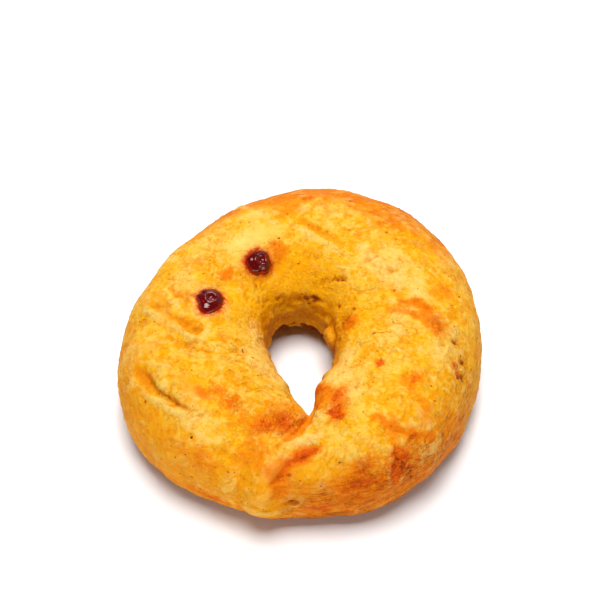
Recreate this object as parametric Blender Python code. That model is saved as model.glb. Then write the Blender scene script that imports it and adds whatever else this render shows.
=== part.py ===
"""Chipa argolla: a ring of cheese bread, rolled by hand and closed at the front, where
the right end of the roll lies over the left one. Two beads of cheese have boiled out of
the crust on the left and set dark.

Metres, +Z up. The ring lies on its flat underside, the origin is the middle of its
bounding box at table height, and -Y is the side where the roll is joined.

Places on the roll are given as (bearing, turn) in degrees. Bearing runs round the hole:
0 is +X, 90 is +Y, 270 is the joint. Turn runs round the roll: 0 is the widest line
outside, 90 the crest, 180 the narrowest line of the hole, 270 the underside.
"""
import math

import bpy
import numpy as np
from mathutils import Matrix, Vector

MM = 0.001

# ---------------------------------------------------------------- sizes, mm
# radius of the widest line outside
OUTER = [(0, 55.3), (20, 56.5), (40, 59.4), (60, 61.0), (80, 60.1), (100, 57.2), (120, 55.2),
         (140, 54.2), (160, 55.2), (180, 57.2), (200, 59.3), (220, 58.8), (240, 56.1), (250, 55.4),
         (258, 55.5), (266, 53.7), (276, 54.1), (290, 55.5), (305, 55.5), (320, 55.1), (340, 54.2)]
# radius of the narrowest line of the hole; it runs out to a point between the two ends
HOLE = [(0, 9.7), (30, 9.6), (60, 11.2), (90, 13.9), (120, 15.2), (150, 13.4), (180, 12.3),
        (210, 11.9), (240, 14.8), (255, 17.6), (265, 22.2), (268, 23.6), (272, 26.9),
        (279, 19.6), (290, 13.8), (305, 12.5), (330, 10.8)]
# height of the crest
CREST = [(0, 34.0), (90, 34.0), (180, 34.5), (250, 33.0), (272, 31.0), (295, 33.0)]
HUB = (1.14, -1.75)       # the point that bearings are measured round
CREST_AT = 0.47           # how far out the crest stands between hole and outside
WIDEST_AT = 0.40          # height of the widest line, as a share of the crest's
ROUND_OUT = 2.15          # section outside, above the widest line; 2 is an ellipse
ROUND_IN = 2.1            # section towards the hole
ROUND_BASE = 3.4          # section below the widest line, squarer where it met the tray
FLAT_BELOW = 0.9          # the round of the underside is pressed flat by this much
BASE_FADE = 4.0           # folds and swellings die out over this height above the tray

# folds: (bearing, turn) stations, half width, depth at the first and at the last station
FOLDS = {
    "joint": ([(272.5, 120), (268.5, 106), (264, 90), (258, 76), (252, 62), (247, 50)], 2.4, 1.4, 0.8),
    "left_fold": ([(198, 46), (205, 50), (212, 55), (220, 58.5), (231, 63)], 2.6, 1.4, 0.3),
    "left_crease": ([(174, 56), (179, 66), (183, 76), (188, 86), (193, 91)], 2.8, 0.7, 1.0),
    "back_crease": ([(92, 88), (85, 94), (79, 98), (71, 101)], 2.9, 1.0, 1.2),
    "right_crease": ([(299, 68), (304, 58), (307.5, 49), (312, 41)], 2.6, 0.3, 0.9),
}
# the upper end stands proud along the joint: as folds, but raised
SHOULDERS = {
    "over_joint": ([(276, 104), (270.5, 86), (264, 68), (257.5, 48), (253, 32)], 3.2, 0.9, 0.8),
    "left_lip": ([(203, 62), (212, 66), (222, 70)], 3.6, 0.9, 0.4),
}
# swellings and dents: bearing, turn, reach along and round the roll, height
SWELLS = {
    "roll_tip": (257, 8, 4.4, 7.0, 1.5),
    "left_dimple": (203.5, 49, 4.6, 3.4, -2.2),
    "hole_lump": (34, 184, 3.0, 2.8, 2.3),
    "hole_lip": (282, 136, 3.4, 4.2, 1.5),
    "right_hump": (15, 77, 6.5, 4.6, 0.7),
    "back_hump": (38, 84, 9.0, 4.0, 0.4),
    "left_hump": (214, 78, 8.0, 5.0, 0.6),
    "front_dent": (292, 24, 4.6, 3.6, -0.7),
    "side_dent": (331, 38, 6.0, 4.0, -0.5),
    "back_shelf": (112, 62, 7.0, 3.4, -0.4),
}
# unevenness of a hand-rolled dough: seed, number of waves, shortest and longest, height
LUMPS = (11, 26, 14.0, 30.0, 0.34)

# beads of cheese: bearing, turn, width along and across the roll, heading
BEADS = {
    "cheese_bead_left": (170.9, 100.0, 9.0, 8.7, 15.0),
    "cheese_bead_right": (124.7, 115.8, 8.5, 8.2, -30.0),
}
BEAD_HEIGHT = 5.2         # whole height of a bead
BEAD_SUNK = 0.9           # its middle lies this far under the crust
BEAD_GAP = 0.3            # between a bead and the pocket it has melted

RING_BEARINGS = 108       # facets round the hole
RING_TURNS = 38           # facets round the roll
GATHER = 0.38             # how strongly the facets crowd towards the joint
BEAD_SEGMENTS, BEAD_RINGS = 20, 12

CRUST_COLOUR = (0.93, 0.50, 0.06, 1)
BEAD_COLOUR = (0.13, 0.015, 0.006, 1)


# ---------------------------------------------------------------- form
def around(stations, bearing):
    """Smooth closed curve through (bearing, value) stations."""
    x = np.array([s[0] for s in stations], float)
    y = np.array([s[1] for s in stations], float)
    x, y = np.concatenate([x - 360, x, x + 360]), np.concatenate([y, y, y])
    step, rise = np.diff(x), np.diff(y) / np.diff(x)
    slope = np.zeros_like(y)
    slope[1:-1] = (rise[:-1] * step[1:] + rise[1:] * step[:-1]) / (step[:-1] + step[1:])
    b = np.mod(bearing, 360.0)
    i = np.searchsorted(x, b, side="right") - 1
    t = (b - x[i]) / step[i]
    return ((1 + 2 * t) * (1 - t) ** 2 * y[i] + t * (1 - t) ** 2 * step[i] * slope[i]
            + t * t * (3 - 2 * t) * y[i + 1] - t * t * (1 - t) * step[i] * slope[i + 1])


def roll(bearing, turn):
    """Points of the plain roll, before it is creased."""
    outer, hole, crest = around(OUTER, bearing), around(HOLE, bearing), around(CREST, bearing)
    middle = hole + (outer - hole) * CREST_AT
    c, s = np.cos(np.radians(turn)), np.sin(np.radians(turn))
    power = np.where(s < 0, 2 / ROUND_BASE, np.where(c > 0, 2 / ROUND_OUT, 2 / ROUND_IN))
    c, s = np.sign(c) * np.abs(c) ** power, np.sign(s) * np.abs(s) ** power
    r = middle + c * np.where(c > 0, outer - middle, middle - hole)
    widest = crest * WIDEST_AT
    z = widest + s * np.where(s > 0, crest - widest, widest)
    z = np.where(s < 0, np.maximum(z - FLAT_BELOW, 0) * widest / (widest - FLAT_BELOW), z)
    a = np.radians(bearing)
    return np.stack([r * np.cos(a) + HUB[0], r * np.sin(a) + HUB[1], z], -1) * MM


def along(bearing, turn, e=0.4):
    """Unit vector along the roll."""
    t = roll(bearing + e, turn) - roll(bearing - e, turn)
    return t / np.maximum(np.linalg.norm(t, axis=-1, keepdims=True), 1e-12)


def outward(bearing, turn, e=0.4):
    """Unit normal of the plain roll."""
    n = np.cross(along(bearing, turn), roll(bearing, turn + e) - roll(bearing, turn - e))
    return n / np.maximum(np.linalg.norm(n, axis=-1, keepdims=True), 1e-12)


def line_height(points, stations, width, first, last):
    """Height of a soft line through the stations, running from first to last."""
    stations = np.array(stations, float)
    knots = roll(stations[:, 0], stations[:, 1])
    lengths = np.linalg.norm(np.diff(knots, axis=0), axis=1)
    near, share, before = np.full(len(points), 1e9), np.zeros(len(points)), 0.0
    for a, b, length in zip(knots[:-1], knots[1:], lengths):
        t = np.clip((points - a) @ (b - a) / length ** 2, 0, 1)
        d = np.linalg.norm(points - (a + t[:, None] * (b - a)), axis=1) / MM
        share = np.where(d < near, (before + t * length) / lengths.sum(), share)
        near = np.minimum(near, d)
        before += length
    return (first + (last - first) * share) * np.exp(-(near / width) ** 2)


def swell_height(points, bearing, turn, reach_along, reach_round, height):
    """Height of one soft swelling or dent."""
    t, n = along(bearing, turn), outward(bearing, turn)
    d = (points - roll(bearing, turn)) / MM
    return height * np.exp(-(d @ t / reach_along) ** 2 - (d @ np.cross(n, t) / reach_round) ** 2
                           - (d @ n / 7.0) ** 2)


def wave_height(points, seed, count, shortest, longest, height):
    """Even, seeded unevenness: plane waves in random directions."""
    rng = np.random.default_rng(seed)
    way = rng.normal(size=(count, 3))
    way /= np.linalg.norm(way, axis=1, keepdims=True)
    length = rng.uniform(shortest, longest, count) * MM
    phase = rng.uniform(0, 2 * np.pi, count)
    total = np.zeros(len(points))
    for w, l, p in zip(way, length, phase):
        total += np.sin(points @ w * (2 * np.pi / l) + p)
    return total * height / np.sqrt(count / 2)


def crust(bearing, turn):
    """Points of the finished ring."""
    p = roll(bearing, turn)
    hub = np.array([HUB[0], HUB[1], 0]) * MM
    h = wave_height(p - hub, *LUMPS)
    for fold in FOLDS.values():
        h -= line_height(p, *fold)
    for shoulder in SHOULDERS.values():
        h += line_height(p, *shoulder)
    for item in SWELLS.values():
        h += swell_height(p, *item)
    low = np.clip(p[:, 2] / MM / BASE_FADE, 0, 1)
    q = p + outward(bearing, turn) * (h * MM * low * low * (3 - 2 * low))[:, None]
    q[:, 2] = np.maximum(q[:, 2], 0.0)
    return q


def spread_bearings(count):
    """Bearings for the facets, closer together at the joint."""
    a = np.arange(count) * 360.0 / count
    return a - GATHER * np.degrees(np.sin(np.radians(a - 271.0)))


def spread_turns(bearings, count, under=0.45):
    """Turns at equal steps along each section, wider apart on the flat underside."""
    fine = np.linspace(0, 360, 721)
    b = np.repeat(bearings[:, None], len(fine), 1)
    p = roll(b, np.repeat(fine[None], len(b), 0))
    step = np.linalg.norm(np.diff(p, axis=1), axis=2) * np.where(p[:, 1:, 2] < 2.5 * MM, under, 1.0)
    run = np.concatenate([np.zeros((len(b), 1)), np.cumsum(step, 1)], 1)
    run /= run[:, -1:]
    return np.stack([np.interp(np.arange(count) / count, r, fine) for r in run])


# ---------------------------------------------------------------- objects
def collection(name):
    c = bpy.data.collections.new(name)
    bpy.context.scene.collection.children.link(c)
    return c


def put_in(obj, home):
    for c in list(obj.users_collection):
        c.objects.unlink(obj)
    home.objects.link(obj)


def material(name, colour, roughness):
    m = bpy.data.materials.new(name)
    m.use_nodes = True
    m.diffuse_color = colour
    bsdf = m.node_tree.nodes["Principled BSDF"]
    bsdf.inputs["Base Color"].default_value = colour
    bsdf.inputs["Roughness"].default_value = roughness
    bsdf.inputs["Metallic"].default_value = 0.0
    return m


def read_points(mesh):
    co = np.empty(len(mesh.vertices) * 3)
    mesh.vertices.foreach_get("co", co)
    return co.reshape(-1, 3)


def write_points(mesh, points):
    mesh.vertices.foreach_set("co", np.ascontiguousarray(points, float).ravel())
    mesh.update()


def make_ring(name, home, mat):
    """A torus whose vertices are moved out to the crust."""
    major, minor = 34 * MM, 17 * MM
    bpy.ops.mesh.primitive_torus_add(major_segments=RING_BEARINGS, minor_segments=RING_TURNS,
                                     major_radius=major, minor_radius=minor)
    ring = bpy.context.object
    ring.name = ring.data.name = name
    put_in(ring, home)
    co = read_points(ring.data)
    u = np.degrees(np.arctan2(co[:, 1], co[:, 0])) / (360 / RING_BEARINGS)
    v = np.degrees(np.arctan2(co[:, 2], np.hypot(co[:, 0], co[:, 1]) - major)) / (360 / RING_TURNS)
    u, v = np.rint(u).astype(int) % RING_BEARINGS, np.rint(v).astype(int) % RING_TURNS
    bearings = spread_bearings(RING_BEARINGS)
    turns = spread_turns(bearings, RING_TURNS)
    write_points(ring.data, crust(bearings[u], turns[u, v]))
    ring.data.materials.append(mat)
    ring.data.shade_smooth()
    return ring


def bead_place(bearing, turn, heading):
    """Matrix that sets a bead on the crust: Z outward, X along the roll turned by heading."""
    b, t = np.array([bearing]), np.array([turn])
    n = outward(b, t)[0]
    x = along(b, t)[0]
    y = np.cross(n, x)
    c, s = math.cos(math.radians(heading)), math.sin(math.radians(heading))
    x, y = x * c + y * s, y * c - x * s
    at = crust(b, t)[0] - n * BEAD_SUNK * MM
    m = Matrix((Vector(x), Vector(y), Vector(n))).transposed().to_4x4()
    m.translation = Vector(at)
    return m


def make_bead(name, home, spec, grow=0.0):
    """A flattened drop with a slightly hollow top and an uneven waist."""
    bearing, turn, length, width, heading = spec
    bpy.ops.mesh.primitive_uv_sphere_add(segments=BEAD_SEGMENTS, ring_count=BEAD_RINGS, radius=1.0)
    bead = bpy.context.object
    bead.name = bead.data.name = name
    put_in(bead, home)
    co = read_points(bead.data)
    a = np.arctan2(co[:, 1], co[:, 0])
    waist = 1 + 0.045 * np.cos(3 * a + bearing) + 0.03 * np.cos(2 * a + turn)
    top = 1 - 0.16 * np.exp(-(np.hypot(co[:, 0], co[:, 1]) / 0.42) ** 2) * (co[:, 2] > 0)
    half = np.array([length / 2 + grow, width / 2 + grow, BEAD_HEIGHT / 2 + grow]) * MM
    if grow:
        waist, top = np.maximum(waist, 1.0), 1.0
    co[:, 0] *= waist
    co[:, 1] *= waist
    co[:, 2] *= top
    write_points(bead.data, co * half)
    bead.matrix_world = bead_place(bearing, turn, heading)
    return bead


for old in list(bpy.data.objects):
    bpy.data.objects.remove(old, do_unlink=True)

chipa = collection("chipa")
cutters = collection("chipa_cutters")
crust_mat = material("crust", CRUST_COLOUR, 0.55)
bead_mat = material("caramelised_cheese", BEAD_COLOUR, 0.16)

ring = make_ring("bread_ring", chipa, crust_mat)
for name, spec in BEADS.items():
    bead = make_bead(name, chipa, spec)
    bead.data.materials.append(bead_mat)
    bead.data.shade_smooth()

    pocket = make_bead(name + "_pocket", cutters, spec, BEAD_GAP)
    pocket.hide_render = True
    pocket.display_type = "WIRE"
    cut = ring.modifiers.new(name + "_pocket", "BOOLEAN")
    cut.operation = "DIFFERENCE"
    cut.solver = "EXACT"
    cut.object = pocket
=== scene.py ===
import math

import bpy
import numpy as np
from mathutils import Matrix, Vector, noise


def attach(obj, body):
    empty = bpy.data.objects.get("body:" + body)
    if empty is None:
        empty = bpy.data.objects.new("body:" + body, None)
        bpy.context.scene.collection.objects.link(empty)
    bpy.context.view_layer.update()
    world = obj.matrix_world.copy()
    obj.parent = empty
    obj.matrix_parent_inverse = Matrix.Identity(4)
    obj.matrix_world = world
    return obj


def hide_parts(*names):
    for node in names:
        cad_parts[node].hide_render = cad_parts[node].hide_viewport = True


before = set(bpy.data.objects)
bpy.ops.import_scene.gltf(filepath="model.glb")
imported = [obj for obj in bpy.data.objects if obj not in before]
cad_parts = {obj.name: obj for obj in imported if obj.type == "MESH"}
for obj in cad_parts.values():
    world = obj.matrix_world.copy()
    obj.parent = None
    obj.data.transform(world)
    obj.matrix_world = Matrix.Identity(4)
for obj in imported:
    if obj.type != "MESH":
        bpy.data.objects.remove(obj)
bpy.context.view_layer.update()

MM = 0.001

# =====================================================================================
# The form of the roll. Places are (bearing, turn) in degrees: bearing runs round the
# hole (0 is +X, 90 the far side, 270 the joint at the front) and turn runs round the
# roll (0 outside, 90 the crest, 180 the hole, 270 the underside). Sizes are in mm.
# =====================================================================================
OUTER = [(0, 55.3), (20, 56.5), (40, 59.4), (60, 61.0), (80, 60.1), (100, 57.2), (120, 55.2),
         (140, 54.2), (160, 55.2), (180, 57.2), (200, 59.3), (220, 58.8), (240, 56.1), (250, 55.4),
         (258, 55.5), (266, 53.7), (276, 54.1), (290, 55.5), (305, 55.5), (320, 55.1), (340, 54.2)]
HOLE = [(0, 9.7), (30, 9.6), (60, 11.2), (90, 13.9), (120, 15.2), (150, 13.4), (180, 12.3),
        (210, 11.9), (240, 14.8), (255, 17.6), (265, 22.2), (268, 23.6), (272, 26.9),
        (279, 19.6), (290, 13.8), (305, 12.5), (330, 10.8)]
CREST = [(0, 34.0), (90, 34.0), (180, 34.5), (250, 33.0), (272, 31.0), (295, 33.0)]
HUB = (1.14, -1.75)
CREST_AT = 0.47
WIDEST_AT = 0.40
ROUND_OUT, ROUND_IN, ROUND_BASE = 2.15, 2.1, 3.4
FLAT_BELOW = 0.9
BASE_FADE = 4.0
LUMPS = (11, 26, 14.0, 30.0, 0.34)

# folds and creases: stations, half width, then depths, evenly spread from first to last station
FOLDS = {
    "joint": ([(272, 118), (270.9, 110), (269.2, 97), (266.9, 86), (264.2, 77.5), (261.5, 71), (258, 62), (254, 53)], 1.2, 1.6, 1.2, 0.9, 0.6, 0.4),
    "joint_b": ([(269.0, 106), (266.4, 96), (263.4, 87), (260.8, 79), (257.5, 71)], 0.55, 0.3, 0.45, 0.45, 0.3),
    "joint_c": ([(273.4, 106), (271.6, 96), (269.0, 87.5), (266.4, 80.5)], 0.5, 0.3, 0.35, 0.25),
    "joint_d": ([(262.5, 99), (260.0, 91), (257.2, 84), (254.5, 79)], 0.5, 0.2, 0.35, 0.2),
    "streak_edge": ([(274.8, 69.5), (270.5, 62.5), (266.5, 56), (264, 50)], 0.8, 0.3, 1.0, 0.8, 0.3),
    "streak_foot": ([(264.1, 51), (263, 44), (261.8, 38), (260.3, 34)], 1.3, 0.5, 0.9, 1.0),
    "tip_right": ([(262, 34), (262, 25), (261, 17), (259.5, 10)], 1.6, 0.9, 0.8),
    "tip_under": ([(254.5, 7), (258, 3), (262, 6), (266.5, 9)], 1.3, 0.6, 0.7),
    "tip_left": ([(250.5, 36), (250, 22), (250, 6), (249.5, -10)], 1.6, 0.5, 0.9),
    "left_crease": ([(202.5, 48.5), (205.7, 50.3), (212.6, 54.4), (216.7, 56.8), (220.1, 59.4), (224.5, 60.5)], 0.95, 0.5, 1.2, 1.7, 1.4, 0.3),
    "upper_left_a": ([(166, 68), (169, 76), (172, 84), (175, 88)], 1.4, 0.6, 0.4),
    "upper_left_b": ([(174, 60), (177, 67), (180.5, 76), (184.5, 82.5), (188, 88.5), (190.3, 93.5)], 1.05, 0.4, 0.9, 0.9, 0.7, 0.3),
    "upper_left_c": ([(186.8, 84.5), (189.6, 87.6), (191.6, 92), (190.8, 96.5), (188, 98.5)], 0.6, 0.3, 0.6, 0.6, 0.3),
    "stretch_a": ([(190.5, 72), (194, 79), (199.5, 87), (205.5, 96), (209.5, 108), (214, 121)], 0.75, 0.25, 0.45, 0.4, 0.35, 0.2),
    "stretch_b": ([(197, 91), (203, 102), (208, 114), (213, 128)], 0.7, 0.25, 0.4, 0.35, 0.2),
    "stretch_c": ([(193.5, 90), (197.5, 101), (201, 113)], 0.7, 0.2, 0.3, 0.2),
    "stretch_d": ([(184, 58), (189, 68), (192, 76)], 0.8, 0.2, 0.35, 0.2),
    "tab": ([(185, 90), (186, 94), (186, 98)], 0.9, 0.45, 0.3),
    "back_groove": ([(91, 88), (87, 92), (81, 97.5), (75, 100.5), (69, 103)], 1.15, 0.6, 1.1, 0.8, 0.4),
    "flake": ([(42, 101), (35, 96), (29, 89.5), (30, 86), (34, 83)], 0.8, 0.3, 0.55, 0.4),
    "right_line_a": ([(10, 94), (9, 88), (6, 82), (4, 75)], 1.5, 0.5, 0.6),
    "right_line_b": ([(6, 106), (5, 99), (2, 92), (359, 84)], 1.8, 0.6, 0.4),
    "right_front": ([(301, 73), (303.5, 64), (305.5, 55), (308, 48), (310, 42), (315, 32)], 1.3, 0.3, 0.7, 1.0),
    "rough_ridge": ([(290, 38), (291, 32), (293, 25)], 0.9, 0.5, 0.5),
    "rough_well": ([(300.9, 38), (300.0, 31), (299.4, 23), (298.6, 16)], 1.1, 0.9, 0.7, 0.5),
    "rough_cut_a": ([(301.3, 33), (302.3, 30), (302.9, 28.5)], 0.6, 0.5, 0.6),
    "rough_cut_b": ([(301.2, 27), (301.4, 23), (302.4, 18)], 0.6, 0.6, 0.4),
    "rough_cut_c": ([(303.5, 22), (304.0, 17), (304.4, 12), (304, 5)], 0.7, 0.6, 0.6),
    "hole_crack": ([(71, 139), (64, 134), (62, 129), (58, 130)], 0.7, 0.5, 0.5),
    "hole_ledge": ([(138, 149), (133, 151), (124, 157), (113, 162), (101, 162), (92, 165), (84, 161)], 1.0, 0.3, 0.35, 0.15, 0.35, 0.2),
    "under_bead": ([(134, 125), (136, 132), (140, 139), (145, 143)], 0.7, 0.35, 0.35),
    "hole_right": ([(19, 133), (19, 142), (19, 151), (8, 156)], 1.0, 0.6, 0.7),
    "hole_right_b": ([(43, 127), (37, 128), (28, 129)], 0.8, 0.4, 0.2),
}
RIDGES = {
    "over_joint": ([(277, 104), (272, 86), (267, 70), (261, 52), (256, 38)], 3.0, 0.9, 0.8),
    "streak": ([(274.4, 72), (270.5, 66), (267.2, 60), (264.6, 54)], 1.4, 0.2, 1.0, 0.9, 0.2),
    "streak_top": ([(276, 84), (271, 79.5), (267, 75), (262.6, 69.5)], 1.3, 0.3, 0.6, 0.5),
    "left_lip": ([(203, 62), (212, 66), (222, 70)], 3.6, 0.9, 0.4),
    "left_lower_lip": ([(201, 38), (206, 43), (211.6, 48.5), (220, 54), (227, 56)], 1.4, 0.4, 0.7, 0.7, 0.4),
    "upper_left_lip": ([(175.8, 51.5), (179.1, 63), (183.8, 75), (188.2, 81.5), (193, 88), (196, 94), (192, 99)], 1.15, 0.5, 0.8, 0.8, 0.8, 0.6),
    "rough_edge": ([(299.8, 44), (298.4, 34), (297.4, 25), (296.6, 17)], 0.8, 0.5, 0.7, 0.5),
    "rough_knob": ([(302.9, 31), (302.2, 26)], 0.8, 0.7, 0.5),
    "groove_lip": ([(92, 93), (87, 98), (80, 104), (72, 107), (66, 108)], 1.3, 0.3, 0.55, 0.5, 0.3),
    "flake_lip": ([(40, 96), (34, 92), (32, 88)], 1.6, 0.35, 0.5, 0.4),
    "rough_lip": ([(288.5, 38), (289, 32), (290, 26)], 1.0, 0.35, 0.35),
    "ledge_top": ([(140, 138), (122, 147), (105, 151), (89, 152)], 2.6, 0.4, 0.4),
}
# swellings and dents: bearing, turn, reach along and round the roll, height
SWELLS = {
    "roll_tip": (257, 8, 4.4, 7.0, 1.5),
    "tip_crown": (257.5, 22, 3.4, 3.8, 0.7),
    "left_dimple": (202.5, 47.5, 4.2, 3.0, -1.7),
    "hole_lump": (34, 184, 3.0, 2.8, 0.9),
    "hole_lump_b": (49, 172, 2.0, 1.8, 0.9), "hole_lump_c": (112, 174, 2.6, 1.6, 0.7), "hole_lump_d": (140, 170, 2.0, 2.2, 0.7),
    "hole_lip": (282, 136, 3.4, 4.2, 1.5),
    "right_hump": (15, 77, 6.5, 4.6, 0.7),
    "back_hump": (38, 84, 9.0, 4.0, 0.4),
    "left_hump": (214, 78, 8.0, 5.0, 0.6),
    "front_dent": (292, 24, 4.6, 3.6, -0.7),
    "side_dent": (331, 38, 6.0, 4.0, -0.5),
    "back_shelf": (112, 62, 7.0, 3.4, -0.4),
    "rim_nick": (114, 44, 1.6, 2.6, 0.7),
    "pit_a": (340, 34, 0.9, 1.1, -0.9), "pit_b": (345, 40, 0.8, 1.3, -0.8),
    "pit_c": (351, 52, 0.7, 1.4, -0.8), "pit_d": (320, 21, 0.7, 1.3, -0.8),
    "pit_e": (54, 127, 1.1, 0.8, -0.9), "pit_f": (42, 147, 0.8, 0.8, -0.8),
    "pit_g": (266, 7, 1.3, 0.7, -0.7), "pit_h": (308, 43, 1.0, 0.8, -0.5),
}

# beads of cheese: bearing, turn, height above and depth below the crust, and the outline
# seen from above, (degrees from +X, radius)
BEADS = {
    "cheese_bead_left": dict(at=(170.9, 100.0), up=2.0, down=2.2, seed=3.0,
                             outline=[(0, 4.1), (25, 4.6), (60, 4.7), (100, 4.4), (125, 4.6), (142, 4.1),
                                      (158, 4.5), (185, 3.7), (220, 4.1), (245, 5.0), (262, 4.9), (285, 4.2),
                                      (320, 3.9), (340, 4.0)]),
    "cheese_bead_right": dict(at=(124.7, 115.8), up=2.1, down=2.2, seed=8.0,
                              outline=[(0, 4.2), (20, 3.9), (45, 4.3), (80, 4.0), (115, 3.7), (150, 3.9), (178, 4.4),
                                       (200, 4.0), (240, 4.2), (262, 4.0), (282, 3.5), (305, 3.9), (340, 4.2)]),
}


def around(stations, bearing):
    """Smooth closed curve through (degrees, value) stations."""
    x = np.array([s[0] for s in stations], float)
    y = np.array([s[1] for s in stations], float)
    x, y = np.concatenate([x - 360, x, x + 360]), np.concatenate([y, y, y])
    step, rise = np.diff(x), np.diff(y) / np.diff(x)
    slope = np.zeros_like(y)
    slope[1:-1] = (rise[:-1] * step[1:] + rise[1:] * step[:-1]) / (step[:-1] + step[1:])
    b = np.mod(bearing, 360.0)
    i = np.searchsorted(x, b, side="right") - 1
    t = (b - x[i]) / step[i]
    return ((1 + 2 * t) * (1 - t) ** 2 * y[i] + t * (1 - t) ** 2 * step[i] * slope[i]
            + t * t * (3 - 2 * t) * y[i + 1] - t * t * (1 - t) * step[i] * slope[i + 1])


def roll(bearing, turn):
    """Points of the plain roll, in metres."""
    outer, hole, crest = around(OUTER, bearing), around(HOLE, bearing), around(CREST, bearing)
    middle = hole + (outer - hole) * CREST_AT
    c, s = np.cos(np.radians(turn)), np.sin(np.radians(turn))
    power = np.where(s < 0, 2 / ROUND_BASE, np.where(c > 0, 2 / ROUND_OUT, 2 / ROUND_IN))
    c, s = np.sign(c) * np.abs(c) ** power, np.sign(s) * np.abs(s) ** power
    r = middle + c * np.where(c > 0, outer - middle, middle - hole)
    widest = crest * WIDEST_AT
    z = widest + s * np.where(s > 0, crest - widest, widest)
    z = np.where(s < 0, np.maximum(z - FLAT_BELOW, 0) * widest / (widest - FLAT_BELOW), z)
    a = np.radians(bearing)
    return np.stack([r * np.cos(a) + HUB[0], r * np.sin(a) + HUB[1], z], -1) * MM


def along(bearing, turn, e=0.4):
    t = roll(bearing + e, turn) - roll(bearing - e, turn)
    return t / np.maximum(np.linalg.norm(t, axis=-1, keepdims=True), 1e-12)


def outward(bearing, turn, e=0.4):
    n = np.cross(along(bearing, turn), roll(bearing, turn + e) - roll(bearing, turn - e))
    return n / np.maximum(np.linalg.norm(n, axis=-1, keepdims=True), 1e-12)


def near_line(points, stations):
    """Distance in mm to a line on the roll, and the share of the way along it."""
    stations = np.array(stations, float)
    knots = roll(stations[:, 0], stations[:, 1])
    lengths = np.linalg.norm(np.diff(knots, axis=0), axis=1)
    near, share, before = np.full(len(points), 1e9), np.zeros(len(points)), 0.0
    for a, b, length in zip(knots[:-1], knots[1:], lengths):
        t = np.clip((points - a) @ (b - a) / length ** 2, 0, 1)
        d = np.linalg.norm(points - (a + t[:, None] * (b - a)), axis=1) / MM
        share = np.where(d < near, (before + t * length) / lengths.sum(), share)
        near = np.minimum(near, d)
        before += length
    return near, share


def line_height(points, stations, width, *heights):
    near, share = near_line(points, stations)
    return np.interp(share, np.linspace(0, 1, len(heights)), heights) * np.exp(-(near / width) ** 2)


def spread(points, bearing, turn, reach_along, reach_round, heading=0.0):
    """Distance from a place on the roll, in units of its reach."""
    t, n = along(bearing, turn), outward(bearing, turn)
    w = np.cross(n, t)
    h = math.radians(heading)
    t, w = t * math.cos(h) + w * math.sin(h), w * math.cos(h) - t * math.sin(h)
    d = (points - roll(bearing, turn)) / MM
    return np.sqrt((d @ t / reach_along) ** 2 + (d @ w / reach_round) ** 2 + (d @ n / 7.0) ** 2)


def wave_height(points, seed, count, shortest, longest, height):
    rng = np.random.default_rng(seed)
    way = rng.normal(size=(count, 3))
    way /= np.linalg.norm(way, axis=1, keepdims=True)
    length = rng.uniform(shortest, longest, count) * MM
    phase = rng.uniform(0, 2 * np.pi, count)
    total = np.zeros(len(points))
    for w, l, p in zip(way, length, phase):
        total += np.sin(points @ w * (2 * np.pi / l) + p)
    return total * height / np.sqrt(count / 2)


def fractal(points, size, octaves=3, shift=0.0, gain=0.6):
    """Fractal noise of about -1 to 1 whose largest lumps are size mm."""
    q = points / (size * MM) + shift
    return np.array([noise.fractal(Vector(v), gain, 2.0, octaves) for v in q])


def smooth(x, lo, hi):
    t = np.clip((x - lo) / (hi - lo), 0, 1)
    return t * t * (3 - 2 * t)


def spread_bearings(count, gather):
    a = np.arange(count) * 360.0 / count
    return a - gather * np.degrees(np.sin(np.radians(a - 271.0)))


def spread_turns(bearings, count, under):
    fine = np.linspace(0, 360, 721)
    b = np.repeat(bearings[:, None], len(fine), 1)
    p = roll(b, np.repeat(fine[None], len(b), 0))
    step = np.linalg.norm(np.diff(p, axis=1), axis=2) * np.where(p[:, 1:, 2] < 2.5 * MM, under, 1.0)
    run = np.concatenate([np.zeros((len(b), 1)), np.cumsum(step, 1)], 1)
    run /= run[:, -1:]
    return np.stack([np.interp(np.arange(count) / count, r, fine) for r in run])


# =====================================================================================
# Bead places: measured before the crust is made, because the crust swells round them
# =====================================================================================
def bead_frame(bearing, turn):
    """Centre on the plain roll, and the axes right, away and outward."""
    b, t = np.array([bearing]), np.array([turn])
    n = outward(b, t)[0]
    x = np.array([1.0, 0, 0]) - n * n[0]
    x /= np.linalg.norm(x)
    return roll(b, t)[0], x, np.cross(n, x), n


def bead_distance(points, spec):
    """How far a point lies from a bead's outline, mm, inside negative; and above 9 far away."""
    c, x, y, n = bead_frame(*spec["at"])
    d = (points - c) / MM
    u, v, w = d @ x, d @ y, d @ n
    r = np.hypot(u, v)
    edge = around(spec["outline"], np.degrees(np.arctan2(v, u)))
    return np.where(np.abs(w) < 8, r - edge, 99.0)


# =====================================================================================
# The crust: 520 x 190 points
# =====================================================================================
NU, NV, GATHER, UNDER = 520, 190, 0.34, 0.40
ub = spread_bearings(NU, GATHER)
tb = spread_turns(ub, NV, UNDER)
bearing, turn = np.repeat(ub, NV), tb.ravel()
plain = roll(bearing, turn)
normal = outward(bearing, turn)
hub = np.array([HUB[0], HUB[1], 0]) * MM

wander = plain + np.stack([fractal(plain, 4.2, 3, s) for s in (5.1, 15.9, 77.3)], -1) * 0.70 * MM
uneven = 1 + 0.60 * fractal(plain, 3.6, 2, 23.0)
height = wave_height(plain - hub, *LUMPS)
for item in FOLDS.values():
    height -= line_height(wander, *item) * uneven
for item in RIDGES.values():
    height += line_height(wander, *item) * uneven
for b, t, ra, rr, h in SWELLS.values():
    height += h * np.exp(-spread(plain, b, t, ra, rr) ** 2)

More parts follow.
